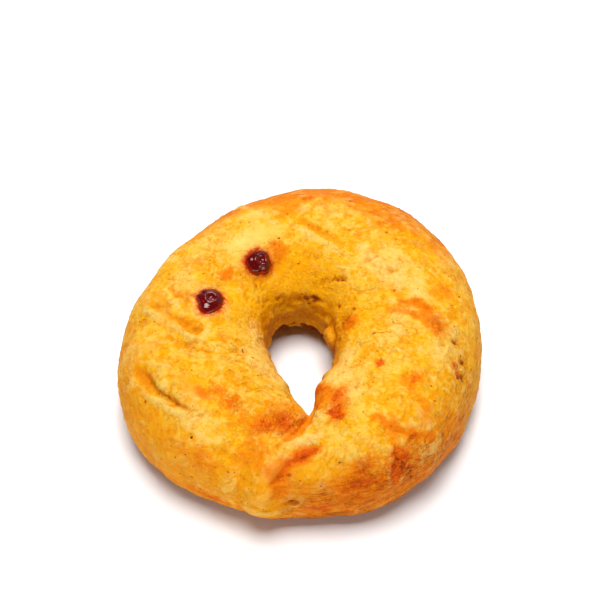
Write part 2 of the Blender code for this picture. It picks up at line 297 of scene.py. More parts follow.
soft = fractal(plain, 7.0, 3, 3.1)
grain = fractal(plain, 2.6, 3, 11.7)
inner = smooth(turn, 128, 165) * (1 - smooth(turn, 212, 250))       # crumbly wall of the hole
height += 0.22 * soft + 0.13 * grain * (1 - 0.9 * inner)
crumbly = fractal(plain, 3.2, 2, 41.0)
height += inner * (0.34 * crumbly + 0.22 * np.clip(1 - np.abs(fractal(plain, 3.4, 2, 27.0)) * 4, 0, 1))
# crumbs stand out along the foot of the far wall
foot = smooth(turn, 184, 194) * (1 - smooth(turn, 210, 226)) * (1 - smooth(np.abs((bearing - 108 + 180) % 360 - 180), 48, 72))
crumbs = fractal(plain, 2.5, 1, 63.0)
height += foot * 0.50 * np.clip(crumbs * 2.6, -0.6, 1)
height += 2.9 * np.sqrt(np.clip(1 - spread(plain, 25, 175, 3.6, 3.1) ** 2, 0, 1))       # a round knob of dough in the hole

# fine wrinkles of the skin: thin winding valleys, here and there
bend = np.stack([fractal(plain, 6.0, 2, s) for s in (2.2, 61.5, 33.7)], -1) * 1.6 * MM
wrinkles = np.exp(-(fractal(plain + bend, 4.6, 2, 8.8) / 0.11) ** 2) * smooth(fractal(plain, 13.0, 2, 71.0), -0.12, 0.25)
wrinkles += 0.8 * np.exp(-(fractal(plain + bend, 3.1, 2, 19.4) / 0.16) ** 2) * smooth(fractal(plain, 10.0, 2, 14.0), 0.02, 0.35)
for b, t, ra, rr in ((243, 118, 9.0, 7.0), (228, 112, 9.0, 6.0), (290, 30, 12.0, 7.0), (15, 84, 8.0, 5.0), (187, 84, 7.0, 5.0)):
    wrinkles += 0.5 * np.exp(-(fractal(plain + bend, 2.7, 2, b) / 0.14) ** 2) * np.exp(-spread(plain, b, t, ra, rr) ** 2)
height -= 0.27 * np.minimum(wrinkles, 1.4) * (1 - 0.85 * inner)
curl = np.clip(1 - np.abs(fractal(plain + bend * 1.2, 6.0, 2, 91.0)) * 4.8, 0, 1)
curly = 0.45 * smooth(fractal(plain, 16.0, 2, 54.0), -0.1, 0.3)
for b, t, ra, rr in ((35, 86, 9.0, 6.0), (13, 82, 8.0, 6.0), (62, 84, 8.0, 6.0), (112, 80, 9.0, 5.0), (346, 60, 7.0, 7.0),
                     (353, 56, 5.0, 4.5), (186, 84, 7.0, 6.0), (196, 74, 8.0, 4.0), (232, 62, 8.0, 4.0), (318, 60, 7.0, 5.0), (150, 92, 7.0, 4.0)):
    curly = np.maximum(curly, np.exp(-spread(plain, b, t, ra, rr) ** 2))
height += 0.40 * curl * curly
# the skin puckers where it browned most
rough = np.zeros(len(plain))
for b, t, ra, rr in ((301, 28, 4.5, 5.0), (289, 40, 3.6, 4.5), (286, 22, 5.0, 3.5), (284, 8, 9.0, 3.0), (286, 92, 3.0, 3.4),
                     (341, 43, 5.0, 4.5), (89, 62, 3.5, 1.8), (259, 91, 5.0, 4.0), (358, 71, 4.5, 3.0)):
    rough = np.maximum(rough, np.exp(-spread(plain, b, t, ra, rr) ** 2))
height += rough * 0.42 * fractal(plain, 2.4, 3, 5.5)

around_beads = np.full(len(plain), 99.0)
for spec in BEADS.values():
    around_beads = np.minimum(around_beads, bead_distance(plain, spec))
height += 0.35 * np.exp(-((around_beads - 0.7) / 0.8) ** 2)
height -= 0.9 * smooth(-around_beads, -0.3, 1.2)


def blurred(values, reach):
    """Mean over a square of the grid."""
    v = values.reshape(NU, NV)
    for axis in (0, 1):
        v = sum(np.roll(v, k, axis) for k in range(-reach, reach + 1)) / (2 * reach + 1)
    return v.ravel()


# lift: height against its local mean; below it the colour is darkened as painted shade, above it paled as a painted
# highlight
lift = height - blurred(blurred(height, 4), 4)
valley, ridge = np.clip(-lift / 0.34, 0, 1), np.clip(lift / 0.34, 0, 1)
low = np.clip(plain[:, 2] / MM / BASE_FADE, 0, 1)
low = np.maximum(low, 0.55 * inner * smooth(plain[:, 2] / MM, 0.2, 1.2))
points = plain + normal * (height * MM * low * low * (3 - 2 * low))[:, None]
# a thin foot: nothing dips below the tray's plane, so the crust that touched the tray is cut flat
points[:, 2] = np.maximum(points[:, 2], 0.0)


def grid_mesh(name, points, nu, nv):
    """Closed mesh over a grid that wraps both ways, with its own unwrapped map."""
    i, j = np.meshgrid(np.arange(nu), np.arange(nv), indexing="ij")
    k = (i + 1) % nu, (j + 1) % nv
    faces = np.stack([i * nv + j, k[0] * nv + j, k[0] * nv + k[1], i * nv + k[1]], -1).reshape(-1, 4)
    mesh = bpy.data.meshes.new(name)
    mesh.vertices.add(len(points))
    mesh.vertices.foreach_set("co", points.ravel())
    mesh.loops.add(faces.size)
    mesh.polygons.add(len(faces))
    mesh.loops.foreach_set("vertex_index", faces.ravel().astype(np.int32))
    mesh.polygons.foreach_set("loop_start", np.arange(0, faces.size, 4, dtype=np.int32))
    mesh.polygons.foreach_set("loop_total", np.full(len(faces), 4, np.int32))
    uv = mesh.uv_layers.new(name="OFBake")
    flat = np.stack([np.stack([i, j], -1), np.stack([i + 1, j], -1), np.stack([i + 1, j + 1], -1), np.stack([i, j + 1], -1)], 2)
    flat = flat.reshape(-1, 2) / np.array([nu, nv], float)
    uv.data.foreach_set("uv", (0.002 + flat * 0.996).ravel())
    mesh.update()
    mesh.validate()
    mesh.shade_smooth()
    return mesh


def set_colour(mesh, name, values):
    a = mesh.attributes.new(name, "FLOAT_COLOR", "POINT")
    full = np.ones((len(values), 4))
    full[:, :values.shape[1]] = values
    a.data.foreach_set("color", full.ravel())


def add_object(name, mesh):
    o = bpy.data.objects.new(name, mesh)
    bpy.context.scene.collection.objects.link(o)
    return o


# =====================================================================================
# How the oven coloured it, with some painted light and shade. Each blot is a place, its reach and how strong it is
# =====================================================================================
warp = np.stack([fractal(plain, 5.0, 4, s) for s in (0.0, 21.3, 47.9)], -1)


def blot(b, t, ra, rr, strength=1.0, heading=0.0):
    """A patch with a ragged edge."""
    ragged = plain + warp * min(1.6, 0.45 * min(ra, rr)) * MM
    return strength / (1 + spread(ragged, b, t, ra, rr, heading) ** 4)


def line_blot(stations, width, strength=1.0):
    near, _ = near_line(wander + warp * 0.25 * MM, stations)
    return strength * np.exp(-(near / width) ** 2)


def leaf(stations, widths, strength=1.0):
    """A streak with a crisp edge whose half width changes along it."""
    near, share = near_line(wander + warp * 0.25 * MM, stations)
    return strength * np.exp(-(near / np.interp(share, np.linspace(0, 1, len(widths)), widths)) ** 4)


def gather(items):
    total = np.zeros(len(plain))
    for v in items:
        total = 1 - (1 - total) * (1 - np.clip(v, 0, 1))
    return total


orange = gather([
    blot(252, 47, 7.5, 3.6, 0.45), blot(252, 60, 4.0, 3.0, 0.45), blot(235, 32, 7.0, 4.0, 0.45), blot(237, 21, 5.0, 3.0, 0.3),
    blot(219, 37, 7.0, 4.0, 0.30), blot(257, 90, 6.5, 4.4, 0.6), blot(261, 112, 4.0, 5.0, 0.4), blot(250, 77, 4.0, 3.0, 0.6),
    blot(236, 84, 5.0, 3.5, 0.55), blot(223, 76, 2.6, 1.7, 0.75), blot(225, 86, 3.4, 2.5, 0.5), blot(197, 111, 3.0, 5.0, 0.35),
    blot(202, 47, 4.5, 2.6, 0.45), blot(190, 93, 2.6, 2.2, 0.3), blot(169, 80, 2.4, 4.0, 0.45), blot(184, 77, 2.6, 6.0, 0.35),
    blot(147, 101, 3.6, 2.2, 0.75), blot(108, 110, 2.8, 3.8, 0.9), blot(94, 115, 4.0, 2.6, 0.3), blot(87, 92, 1.8, 1.4, 0.5),
    blot(357, 72, 5.0, 4.2, 0.62), blot(1, 78, 2.6, 3.0, 0.5), blot(353, 66, 3.0, 2.4, 0.4), blot(8, 88, 2.2, 4.0, 0.5), blot(2, 97, 1.8, 5.0, 0.35), blot(13, 60, 3.5, 6.0, 0.5),
    blot(325, 73, 3.0, 3.4, 0.6), blot(318, 54, 6.0, 5.0, 0.45), blot(345, 48, 4.0, 4.0, 0.35), blot(323, 101, 2.0, 1.8, 0.7),
    blot(282, 128, 3.0, 5.0, 0.85), blot(280, 112, 2.4, 2.4, 0.3), blot(268, 66, 5.0, 4.0, 0.35), blot(290, 104, 3.0, 2.4, 0.75), blot(287, 92, 4.2, 3.6, 0.5), blot(285.5, 96, 2.0, 1.8, 0.5), blot(286, 88, 2.2, 1.8, 0.5),
    blot(289, 42, 5.0, 4.0, 0.7), blot(302, 32, 5.0, 5.5, 0.75), blot(286, 24, 7.5, 4.0, 0.8), blot(305, 60, 3.5, 3.0, 0.5),
    blot(274, 40, 7.0, 4.0, 0.25), blot(262, 28, 2.6, 6.0, 0.7), blot(260, 47, 3.0, 3.0, 0.6), blot(8, 143, 3.6, 4.0, 0.8),
    blot(58, 63, 9.0, 2.6, 0.45), blot(76, 58, 12.0, 2.6, 0.5), blot(98, 56, 9.0, 2.2, 0.4), blot(89, 63, 3.0, 1.2, 0.6),
    blot(303, 7, 16.0, 3.2, 0.45), blot(283, 6, 14.0, 3.0, 0.7), blot(240, 353, 9.0, 2.0, 0.7), blot(222, 350, 9.0, 1.6, 0.5),
    leaf([(272, 122), (270, 108), (268, 94), (265.3, 82), (262, 74)], (2.4, 2.0, 1.3, 0.7), 0.58), line_blot(FOLDS["right_front"][0], 1.4, 0.75),
    line_blot(FOLDS["right_line_a"][0], 1.1, 0.6), line_blot(FOLDS["right_line_b"][0], 1.3, 0.5), 
    line_blot(FOLDS["under_bead"][0], 0.9, 0.2), leaf([(275, 71), (270.4, 65.5), (267, 59.5), (264, 52), (262.2, 42), (260.2, 34)], (1.4, 2.4, 2.4, 1.6, 2.0, 1.6), 0.8),
    leaf([(249, 74), (254, 83), (259, 90), (265, 94)], (2.4, 3.2, 4.2, 3.0), 0.35), blot(253, 80, 2.6, 2.6, 0.45), blot(262, 89, 2.6, 3.0, 0.45), blot(257, 97, 2.4, 2.6, 0.4), leaf([(277, 136), (278, 126), (277, 116)], (1.6, 2.2, 1.4), 0.7),
])
red = gather([
    leaf([(274.6, 71.5), (270.4, 65.2), (267, 59.4), (264.3, 53)], (0.5, 1.7, 1.7, 0.7), 0.72), leaf([(264, 50), (263, 44), (261.8, 38), (260.3, 34)], (0.8, 1.5, 1.3, 1.2), 0.5),
    blot(254, 81, 1.8, 1.6, 0.35), blot(261, 90, 1.8, 2.2, 0.35), blot(258, 96, 1.4, 1.6, 0.3), leaf([(300.9, 38), (300.0, 31), (299.2, 23), (298.4, 16)], (0.9, 1.3, 1.3, 1.2), 0.85),
    line_blot([(281.5, 97), (283.6, 94.5), (285, 92)], 0.8, 1.0), line_blot([(284.0, 98), (286.0, 96), (288, 95.5)], 0.7, 0.9), line_blot([(284.3, 89.5), (285.8, 87.5), (287.6, 87.6)], 0.8, 1.0), blot(285.2, 92, 2.0, 1.8, 0.6), blot(303, 24, 3.4, 4.5, 0.55), blot(356, 70, 2.2, 1.8, 0.35), blot(2, 66, 1.4, 2.4, 0.3), blot(107, 108, 1.2, 1.8, 0.25),
    blot(259, 92, 4.6, 3.0, 0.3), blot(263, 94, 2.0, 3.0, 0.45), blot(250, 77, 2.6, 1.8, 0.35),
    blot(236, 84, 3.4, 1.6, 0.45), blot(225, 87, 2.0, 1.6, 0.3), blot(223, 76, 1.6, 1.0, 0.35), 
    blot(289, 104, 2.2, 1.3, 0.7), blot(282, 130, 1.8, 3.4, 0.55), blot(277, 121, 1.0, 1.6, 0.6), blot(323, 101, 1.5, 1.4, 0.75),
    blot(325, 73, 2.0, 2.2, 0.45), blot(339, 42, 1.3, 1.5, 0.8), blot(341, 49, 1.1, 1.8, 0.7), blot(89, 63, 2.4, 0.9, 0.6),
    blot(72, 63, 1.6, 0.9, 0.6), blot(274, 1, 3.0, 1.4, 0.9), blot(302, 32, 2.8, 4.4, 0.6), blot(289, 40, 2.2, 2.6, 0.5),
    blot(286, 25, 3.6, 2.0, 0.55), blot(290, 22, 6.0, 2.6, 0.45), blot(7, 57, 1.0, 1.0, 0.5), blot(12, 49, 1.4, 1.2, 0.3),
    blot(309, 43, 2.0, 1.0, 0.5), blot(8, 145, 1.8, 2.2, 0.3), blot(332, 25, 4.0, 3.0, 0.25), blot(240, 352, 5.0, 1.2, 0.5),
])
brown = gather([
    0.9 * foot * smooth(plain[:, 2] / MM, 9.6, 7.0) * smooth(crumbs, 0.30, 0.0),
    line_blot([(300.9, 38), (301.2, 33), (302.5, 29.5)], 0.6, 0.75), line_blot([(301.2, 28), (301.3, 24), (302, 20)], 0.55, 0.65), line_blot([(303.4, 22), (304.0, 17), (304.4, 11), (304, 5)], 0.6, 0.6),
    blot(285.6, 87.8, 0.8, 0.5, 0.5), blot(283.0, 95.3, 0.8, 0.6, 0.6), blot(286.5, 96, 1.0, 0.4, 0.5), line_blot([(262.8, 37), (260.6, 34), (259.5, 33)], 0.6, 0.5), blot(264.4, 40, 0.8, 0.6, 0.5),
    line_blot([(261, 99), (263.5, 95), (265, 90)], 0.45, 0.45), line_blot([(256, 88), (258, 91), (260, 95)], 0.4, 0.3), line_blot([(265, 54), (267, 57.5), (269.5, 61.8), (272, 64.5), (274, 67.5)], 0.5, 0.5),
    line_blot([(291.4, 31), (292.4, 25), (293, 23)], 0.5, 0.45),
    blot(266, 7, 1.3, 0.6, 0.6), blot(274, 1, 1.5, 0.7, 0.4), blot(286, 25, 1.8, 1.0, 0.3), blot(340, 34, 0.7, 0.8, 0.5),
    blot(345.3, 40, 0.7, 1.0, 0.85), blot(351, 52, 0.6, 1.3, 0.8), blot(338.8, 41, 0.7, 0.7, 0.6), blot(339.6, 35, 0.7, 0.9, 0.95), blot(341.5, 48, 0.6, 0.8, 0.4), blot(320, 21, 0.5, 1.1, 0.4),
    blot(308.5, 43, 0.5, 0.9, 0.5), blot(54, 127, 1.0, 0.7, 0.45), blot(42, 147, 0.8, 0.7, 0.4), blot(77, 156, 1.7, 1.2, 0.75),
    blot(89, 159, 1.2, 1.0, 0.65), blot(85, 165, 1.0, 0.8, 0.4), blot(12, 48, 0.6, 0.6, 0.4), blot(18, 97, 0.8, 0.7, 0.3),
    blot(210, 124, 0.8, 0.6, 0.3), blot(291, 18, 7.0, 2.0, 0.22), blot(297, 10, 9.0, 2.4, 0.20), blot(283, 350, 12.0, 1.6, 0.3),
    line_blot(FOLDS["hole_crack"][0], 0.45, 0.6), line_blot(FOLDS["hole_right"][0], 0.5, 0.5), line_blot(FOLDS["hole_right_b"][0], 0.5, 0.4),
    line_blot([(302.5, 68), (305, 58), (308, 48), (310, 42)], 0.45, 0.4), line_blot([(209, 52.5), (213, 54.8), (216.7, 56.9), (220, 59.2)], 0.42, 0.55),
    line_blot(FOLDS["flake"][0], 0.42, 0.3), line_blot(FOLDS["under_bead"][0], 0.4, 0.35),
])
pale = gather([
    blot(112, 92, 7.0, 3.5, 0.7), blot(129, 97, 7.5, 4.5, 0.7), blot(79, 92, 6.0, 1.8, 0.5), blot(63, 110, 5.5, 3.0, 0.65),
    blot(38, 91, 5.0, 3.0, 0.6), blot(25, 86, 5.0, 4.0, 0.55), blot(13, 80, 4.5, 3.4, 0.5), blot(358, 98, 5.0, 2.4, 0.6),
    blot(346, 69, 3.4, 2.0, 0.7), blot(298, 96, 4.5, 4.5, 0.55), blot(222, 130, 6.0, 6.0, 0.5), blot(208, 88, 6.0, 3.0, 0.5),
    blot(230, 62, 7.0, 2.6, 0.65), blot(240, 52, 6.0, 2.2, 0.4), blot(250, 39, 4.0, 1.6, 0.3),
    leaf([(279, 90), (273, 82.5), (268, 76.5), (263, 70.5)], (2.2, 1.9, 1.5, 1.0), 0.9), leaf([(175.8, 51), (179.1, 63), (183.8, 75), (188.2, 81.5), (193, 88), (196, 94), (192, 99)], (1.6, 1.3, 1.2, 1.3, 1.3, 1.2), 0.85),
    leaf([(201, 38), (206, 43), (211.6, 48.5), (220, 54), (227, 56)], (1.4, 1.5, 1.4, 1.6), 0.7), leaf([(92, 94), (87, 98.5), (80, 104), (72, 108), (64, 109)], (1.2, 1.4, 1.8, 2.0), 0.7),
    # the pale leaf from bearing 180 to 240 round the hole's wall is painted light that lifts the shade falling there
    leaf([(258.5, 50), (256.8, 42)], (1.0, 1.2), 0.25), leaf([(180, 140), (192, 140), (208, 146), (225, 150), (240, 155)], (5, 6, 6, 6, 4), 0.85), leaf([(302, 128), (318, 132), (330, 134)], (3, 4, 3), 0.4),
    blot(165, 76, 5.0, 5.0, 0.5), blot(177, 80, 1.6, 5.0, 0.4), blot(280, 82, 4.5, 2.0, 0.55), blot(285, 76, 2.0, 1.4, 0.5),
    blot(330, 92, 8.0, 5.0, 0.30), blot(195, 120, 8.0, 3.5, 0.35), blot(290, 104, 0.9, 0.9, 0.6), blot(287, 85, 1.0, 1.0, 0.4),
    blot(275, 31, 1.4, 1.4, 0.5), line_blot(RIDGES["rough_edge"][0], 0.7, 0.2), line_blot(RIDGES["rough_lip"][0], 0.7, 0.1),
    blot(303, 350, 12.0, 1.2, 0.2), blot(205, 58, 6.0, 1.6, 0.3), blot(259, 60, 3.0, 2.0, 0.3), blot(315, 85, 6.0, 3.0, 0.25),
    blot(34, 184, 2.4, 2.4, 0.5), blot(30, 120, 9.0, 4.0, 0.25), blot(354, 56, 4.0, 3.6, 0.8), blot(348, 62, 3.0, 2.6, 0.8), blot(345, 56, 2.6, 2.6, 0.6),
    leaf([(186, 66), (190, 75), (196, 84), (202, 94)], (1.6, 1.8, 1.8, 1.6), 0.55), leaf([(200, 94), (206, 106), (211, 118)], (1.2, 1.4, 1.2), 0.5),
])
gold = gather([
    blot(215, 74, 5.5, 4.0, 0.6), blot(192, 66, 9.0, 5.0, 0.4), blot(257, 22, 4.5, 6.0, 0.9), blot(14, 62, 4.0, 3.0, 0.6),
    blot(160, 66, 9.0, 4.0, 0.35), blot(282, 30, 6.0, 4.0, 0.5), blot(312, 66, 4.0, 4.0, 0.4), blot(330, 80, 8.0, 4.0, 0.3),
    blot(94, 125, 20.0, 7.0, 0.5), blot(45, 128, 10.0, 6.0, 0.4), blot(219, 38, 8.0, 4.0, 0.5), blot(150, 125, 12.0, 6.0, 0.4),
    leaf([(190.5, 72), (194, 79), (199.5, 87), (205.5, 96), (209.5, 108), (214, 121)], (0.8, 1.1, 1.1, 0.9), 0.8), leaf([(197, 91), (203, 102), (208, 114), (213, 128)], (0.8, 1.0, 0.8), 0.7),
    leaf([(193.5, 90), (197.5, 101), (201, 113)], (0.8, 1.0, 0.8), 0.6), blot(182, 72, 3.0, 4.0, 0.5), leaf([(170, 60), (176, 66), (181, 76), (185, 83), (189, 89), (190, 95)], (2.2, 2.4, 2.0, 1.9, 2.0), 0.95),
    leaf([(92, 88), (87, 92), (81, 97.5), (75, 100.5), (68, 103)], (1.6, 1.7, 1.5, 1.2), 0.95), blot(210, 70, 6.0, 3.6, 0.6), blot(202, 46, 6.0, 3.6, 0.9), blot(246, 40, 7.0, 4.0, 0.7),
    leaf([(20, 96), (10, 90), (6, 84), (2, 78)], (1.2, 1.6, 1.4), 0.7), blot(221, 33, 8.0, 5.0, 0.5), blot(270, 47, 6.0, 4.0, 0.5),
])
halo = np.exp(-(np.maximum(around_beads + 0.5 * soft + 0.15 * grain, 0) / 0.75) ** 2) * (around_beads < 12)
halo_far = np.exp(-(np.maximum(around_beads, 0) / 1.9) ** 2) * (around_beads < 12)
side_turn = (turn + 180) % 360 - 180
flank = smooth(62 - side_turn, 0, 62) * smooth(side_turn, -100, -20)      # outer flank, towards the tray
# lowness: 1 at the tray, 0 at 11 mm up; it darkens the low flank, partly as painted shade of the undercut
lowness = 1 - smooth(plain[:, 2] / MM, 0.0, 11.0)
def arc(centre, inner, outer):
    """1 near a bearing, 0 away from it."""
    return 1 - smooth(np.abs((bearing - centre + 180) % 360 - 180), inner, outer)


wall = smooth(turn, 106, 152) * (1 - smooth(turn, 205, 250)) * (0.25 + 0.75 * arc(85, 75, 125))      # far wall of the hole
edge_turn = side_turn + 7 * warp[:, 0] * 1.6
inward = 49 + 16 * arc(78, 20, 42)
back_toast = arc(80, 34, 68) * (1 - smooth(edge_turn, inward, inward + 20)) * smooth(edge_turn, -60, 0)
# the lower front flank: browner partly from toasting, partly as painted shade of the undercut
front_toast_and_shade = arc(297, 24, 48) * (1 - smooth(edge_turn, 14, 50)) * smooth(side_turn, -70, -20)
left_toast = arc(212, 14, 50) * (1 - smooth(edge_turn, 6, 44)) * smooth(side_turn, -70, -20)
underside = 1 - smooth(plain[:, 2] / MM, 0.2, 2.6)

ring = add_object("chipa_crust", grid_mesh("chipa_crust", points, NU, NV))
set_colour(ring.data, "bake_spots", np.stack([orange, red, brown], -1))
set_colour(ring.data, "bake_tone", np.stack([pale * (1 - 0.5 * inner), gold, rough], -1))
set_colour(ring.data, "bake_place", np.stack([flank, wall, underside], -1))
set_colour(ring.data, "bake_melt_and_low", np.stack([halo, halo_far, lowness], -1))
set_colour(ring.data, "bake_zones", np.stack([back_toast, front_toast_and_shade, left_toast], -1))
set_colour(ring.data, "bake_relief", np.stack([valley, ridge, np.clip(wrinkles, 0, 1)], -1))
# where the skin is scored by stretch marks, and where it is pricked with dark points
scored = np.zeros(len(plain))
for b, t, ra, rr, k in ((232, 118, 13, 10, 1.0), (205, 112, 10, 9, 0.9), (247, 106, 8, 8, 1.0), (172, 126, 9, 8, 0.5), (14, 100, 9, 5, 0.6), (196, 86, 8, 4, 0.9),
                        (353, 57, 5, 4, 0.9), (347, 100, 9, 5, 0.5), (62, 116, 8, 6, 0.5), (338, 40, 9, 7, 0.7), (112, 82, 9, 4, 0.5), (284, 60, 7, 5, 0.5), (226, 60, 9, 4, 0.4)):
    scored = np.maximum(scored, k * np.exp(-spread(plain, b, t, ra, rr) ** 2))
pricked = np.zeros(len(plain))
for b, t, ra, rr, k in ((230, 40, 16, 9, 0.9), (110, 135, 14, 9, 0.9), (205, 125, 12, 8, 0.6), (320, 92, 10, 8, 0.7), (55, 108, 8, 6, 0.7), (262, 90, 7, 6, 0.8),
                        (285, 48, 9, 6, 0.7), (345, 30, 14, 9, 0.8), (120, 62, 10, 4, 0.6), (165, 70, 9, 6, 0.5)):
    pricked = np.maximum(pricked, k * np.exp(-spread(plain, b, t, ra, rr) ** 2))
set_colour(ring.data, "bake_skin", np.stack([scored, pricked, inner], -1))
# cream where the skin stayed driest and, on the left of the hole's wall, as painted light; honey where it is smoothest,
# hatched and torn places
cream = gather([
    # the cream leaves from bearing 180 to 250 on the hole's wall are painted light that lifts the shade falling there
    blot(244, 150, 4.0, 4.0, 0.4), leaf([(180, 150), (192, 152), (208, 154), (225, 156), (243, 160)], (4, 6, 6, 6, 5), 0.75), leaf([(214, 128), (228, 130), (242, 134), (250, 142)], (3, 4, 4, 3), 0.5),
    leaf([(296, 122), (305, 132), (318, 140)], (3, 4.5, 4), 0.7), blot(300, 108, 5.0, 4.0, 0.45), leaf([(22, 92), (32, 98), (44, 100), (54, 98)], (2.5, 3.5, 3.5, 2.5), 0.6),
    blot(42, 86, 5.0, 2.4, 0.4), blot(128, 90, 5.0, 3.0, 0.4), blot(352, 98, 5.0, 2.4, 0.35), blot(16, 82, 3.0, 2.4, 0.4),
    leaf([(276, 84), (271, 79), (266, 75)], (1.1, 1.2, 0.9), 0.5), blot(284, 100, 2.4, 1.6, 0.4), blot(226, 64, 5.0, 1.8, 0.4), blot(341, 64, 3.0, 2.0, 0.5),
    blot(275, 31, 1.2, 1.2, 0.6), blot(354, 56, 2.6, 2.2, 0.35), blot(140, 70, 6.0, 3.0, 0.35), blot(161, 71, 4.0, 3.0, 0.4), blot(178, 66, 3.0, 2.4, 0.3),
    blot(228, 52, 5.0, 1.6, 0.3), blot(120, 96, 5.0, 3.0, 0.35),
])
honey = gather([
    leaf([(118, 60), (108, 62), (98, 64), (86, 66), (70, 64)], (2.0, 2.4, 2.4, 2.0), 0.6), blot(257, 18, 5.0, 8.0, 0.9), blot(259, 6, 5.0, 7.0, 0.8), blot(250, 24, 7.0, 6.0, 0.7), blot(244, 42, 6.0, 3.4, 0.6), blot(203, 44, 4.0, 2.6, 0.6), blot(272, 48, 6.0, 3.6, 0.7),
    blot(281, 42, 3.0, 4.0, 0.6), blot(217, 74, 4.0, 3.0, 0.5), blot(12, 68, 3.4, 3.0, 0.6), blot(318, 66, 5.0, 3.4, 0.5), blot(222, 34, 8.0, 5.0, 0.5),
    blot(184, 73, 3.4, 3.4, 0.4), blot(103, 74, 5.0, 2.4, 0.4), leaf([(92, 87), (87, 91.6), (81, 97), (75, 100.2), (68, 103)], (1.5, 1.7, 1.5, 1.2), 1.0), leaf([(176, 64), (180.5, 75), (185, 82.5), (189, 89)], (1.6, 1.6, 1.5, 1.4), 0.7),
])
hatch = gather([leaf([(251, 76), (255, 84), (259.5, 90), (264.3, 95), (267, 104)], (2.4, 3.8, 4.4, 4.0, 2.5), 0.7), blot(236, 84, 4.0, 3.0, 0.5), blot(286, 93, 3.6, 3.2, 0.6), blot(357, 72, 3.6, 3.0, 0.5)])
torn = gather([blot(303, 24, 6.0, 6.0, 0.9), blot(290, 26, 8.0, 4.0, 0.6), blot(289, 40, 3.4, 3.4, 0.6), blot(284, 8, 12.0, 4.0, 0.6), blot(308, 12, 8.0, 5.0, 0.6), blot(349, 46, 4.0, 4.0, 0.15)])
set_colour(ring.data, "bake_extra", np.stack([cream * (1 - 0.65 * inner), honey, hatch], -1))
set_colour(ring.data, "bake_wall", np.stack([smooth(turn, 138, 166) * (1 - smooth(turn, 205, 250)) * (1 - arc(95, 22, 58)), foot, inner], -1))
dashed = flank * arc(335, 48, 85) + 0.3 * flank
calm = gather([blot(259, 8, 4.0, 7.0, 0.6), blot(214, 76, 7.0, 4.4, 0.9), blot(206, 62, 5.0, 2.6, 0.6), blot(257, 18, 4.0, 7.0, 0.7), blot(238, 40, 8.0, 6.0, 0.6), blot(150, 118, 9.0, 6.0, 0.7), blot(112, 92, 9.0, 5.0, 0.6),
               blot(96, 120, 9.0, 6.0, 0.6), blot(12, 70, 6.0, 5.0, 0.6), blot(322, 72, 9.0, 6.0, 0.6), blot(300, 84, 7.0, 5.0, 0.5), blot(178, 72, 5.0, 5.0, 0.6), blot(160, 60, 8.0, 5.0, 0.5),
               blot(270, 47, 7.0, 5.0, 0.6), blot(268, 62, 6.0, 4.0, 0.6), blot(192, 60, 9.0, 4.0, 0.5), blot(222, 28, 8.0, 6.0, 0.5), blot(40, 100, 8.0, 6.0, 0.4), blot(70, 80, 8.0, 4.0, 0.4)])
set_colour(ring.data, "bake_torn", np.stack([torn, dashed, calm], -1))
# the crust unrolled, mm: round the hole as a circle, and round the roll
b = np.radians(bearing)
set_colour(ring.data, "bake_unrolled", np.stack([36 * np.cos(b), 36 * np.sin(b), np.radians((turn - 270) % 360) * 17], -1))
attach(ring, "root")
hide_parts("bread_ring")


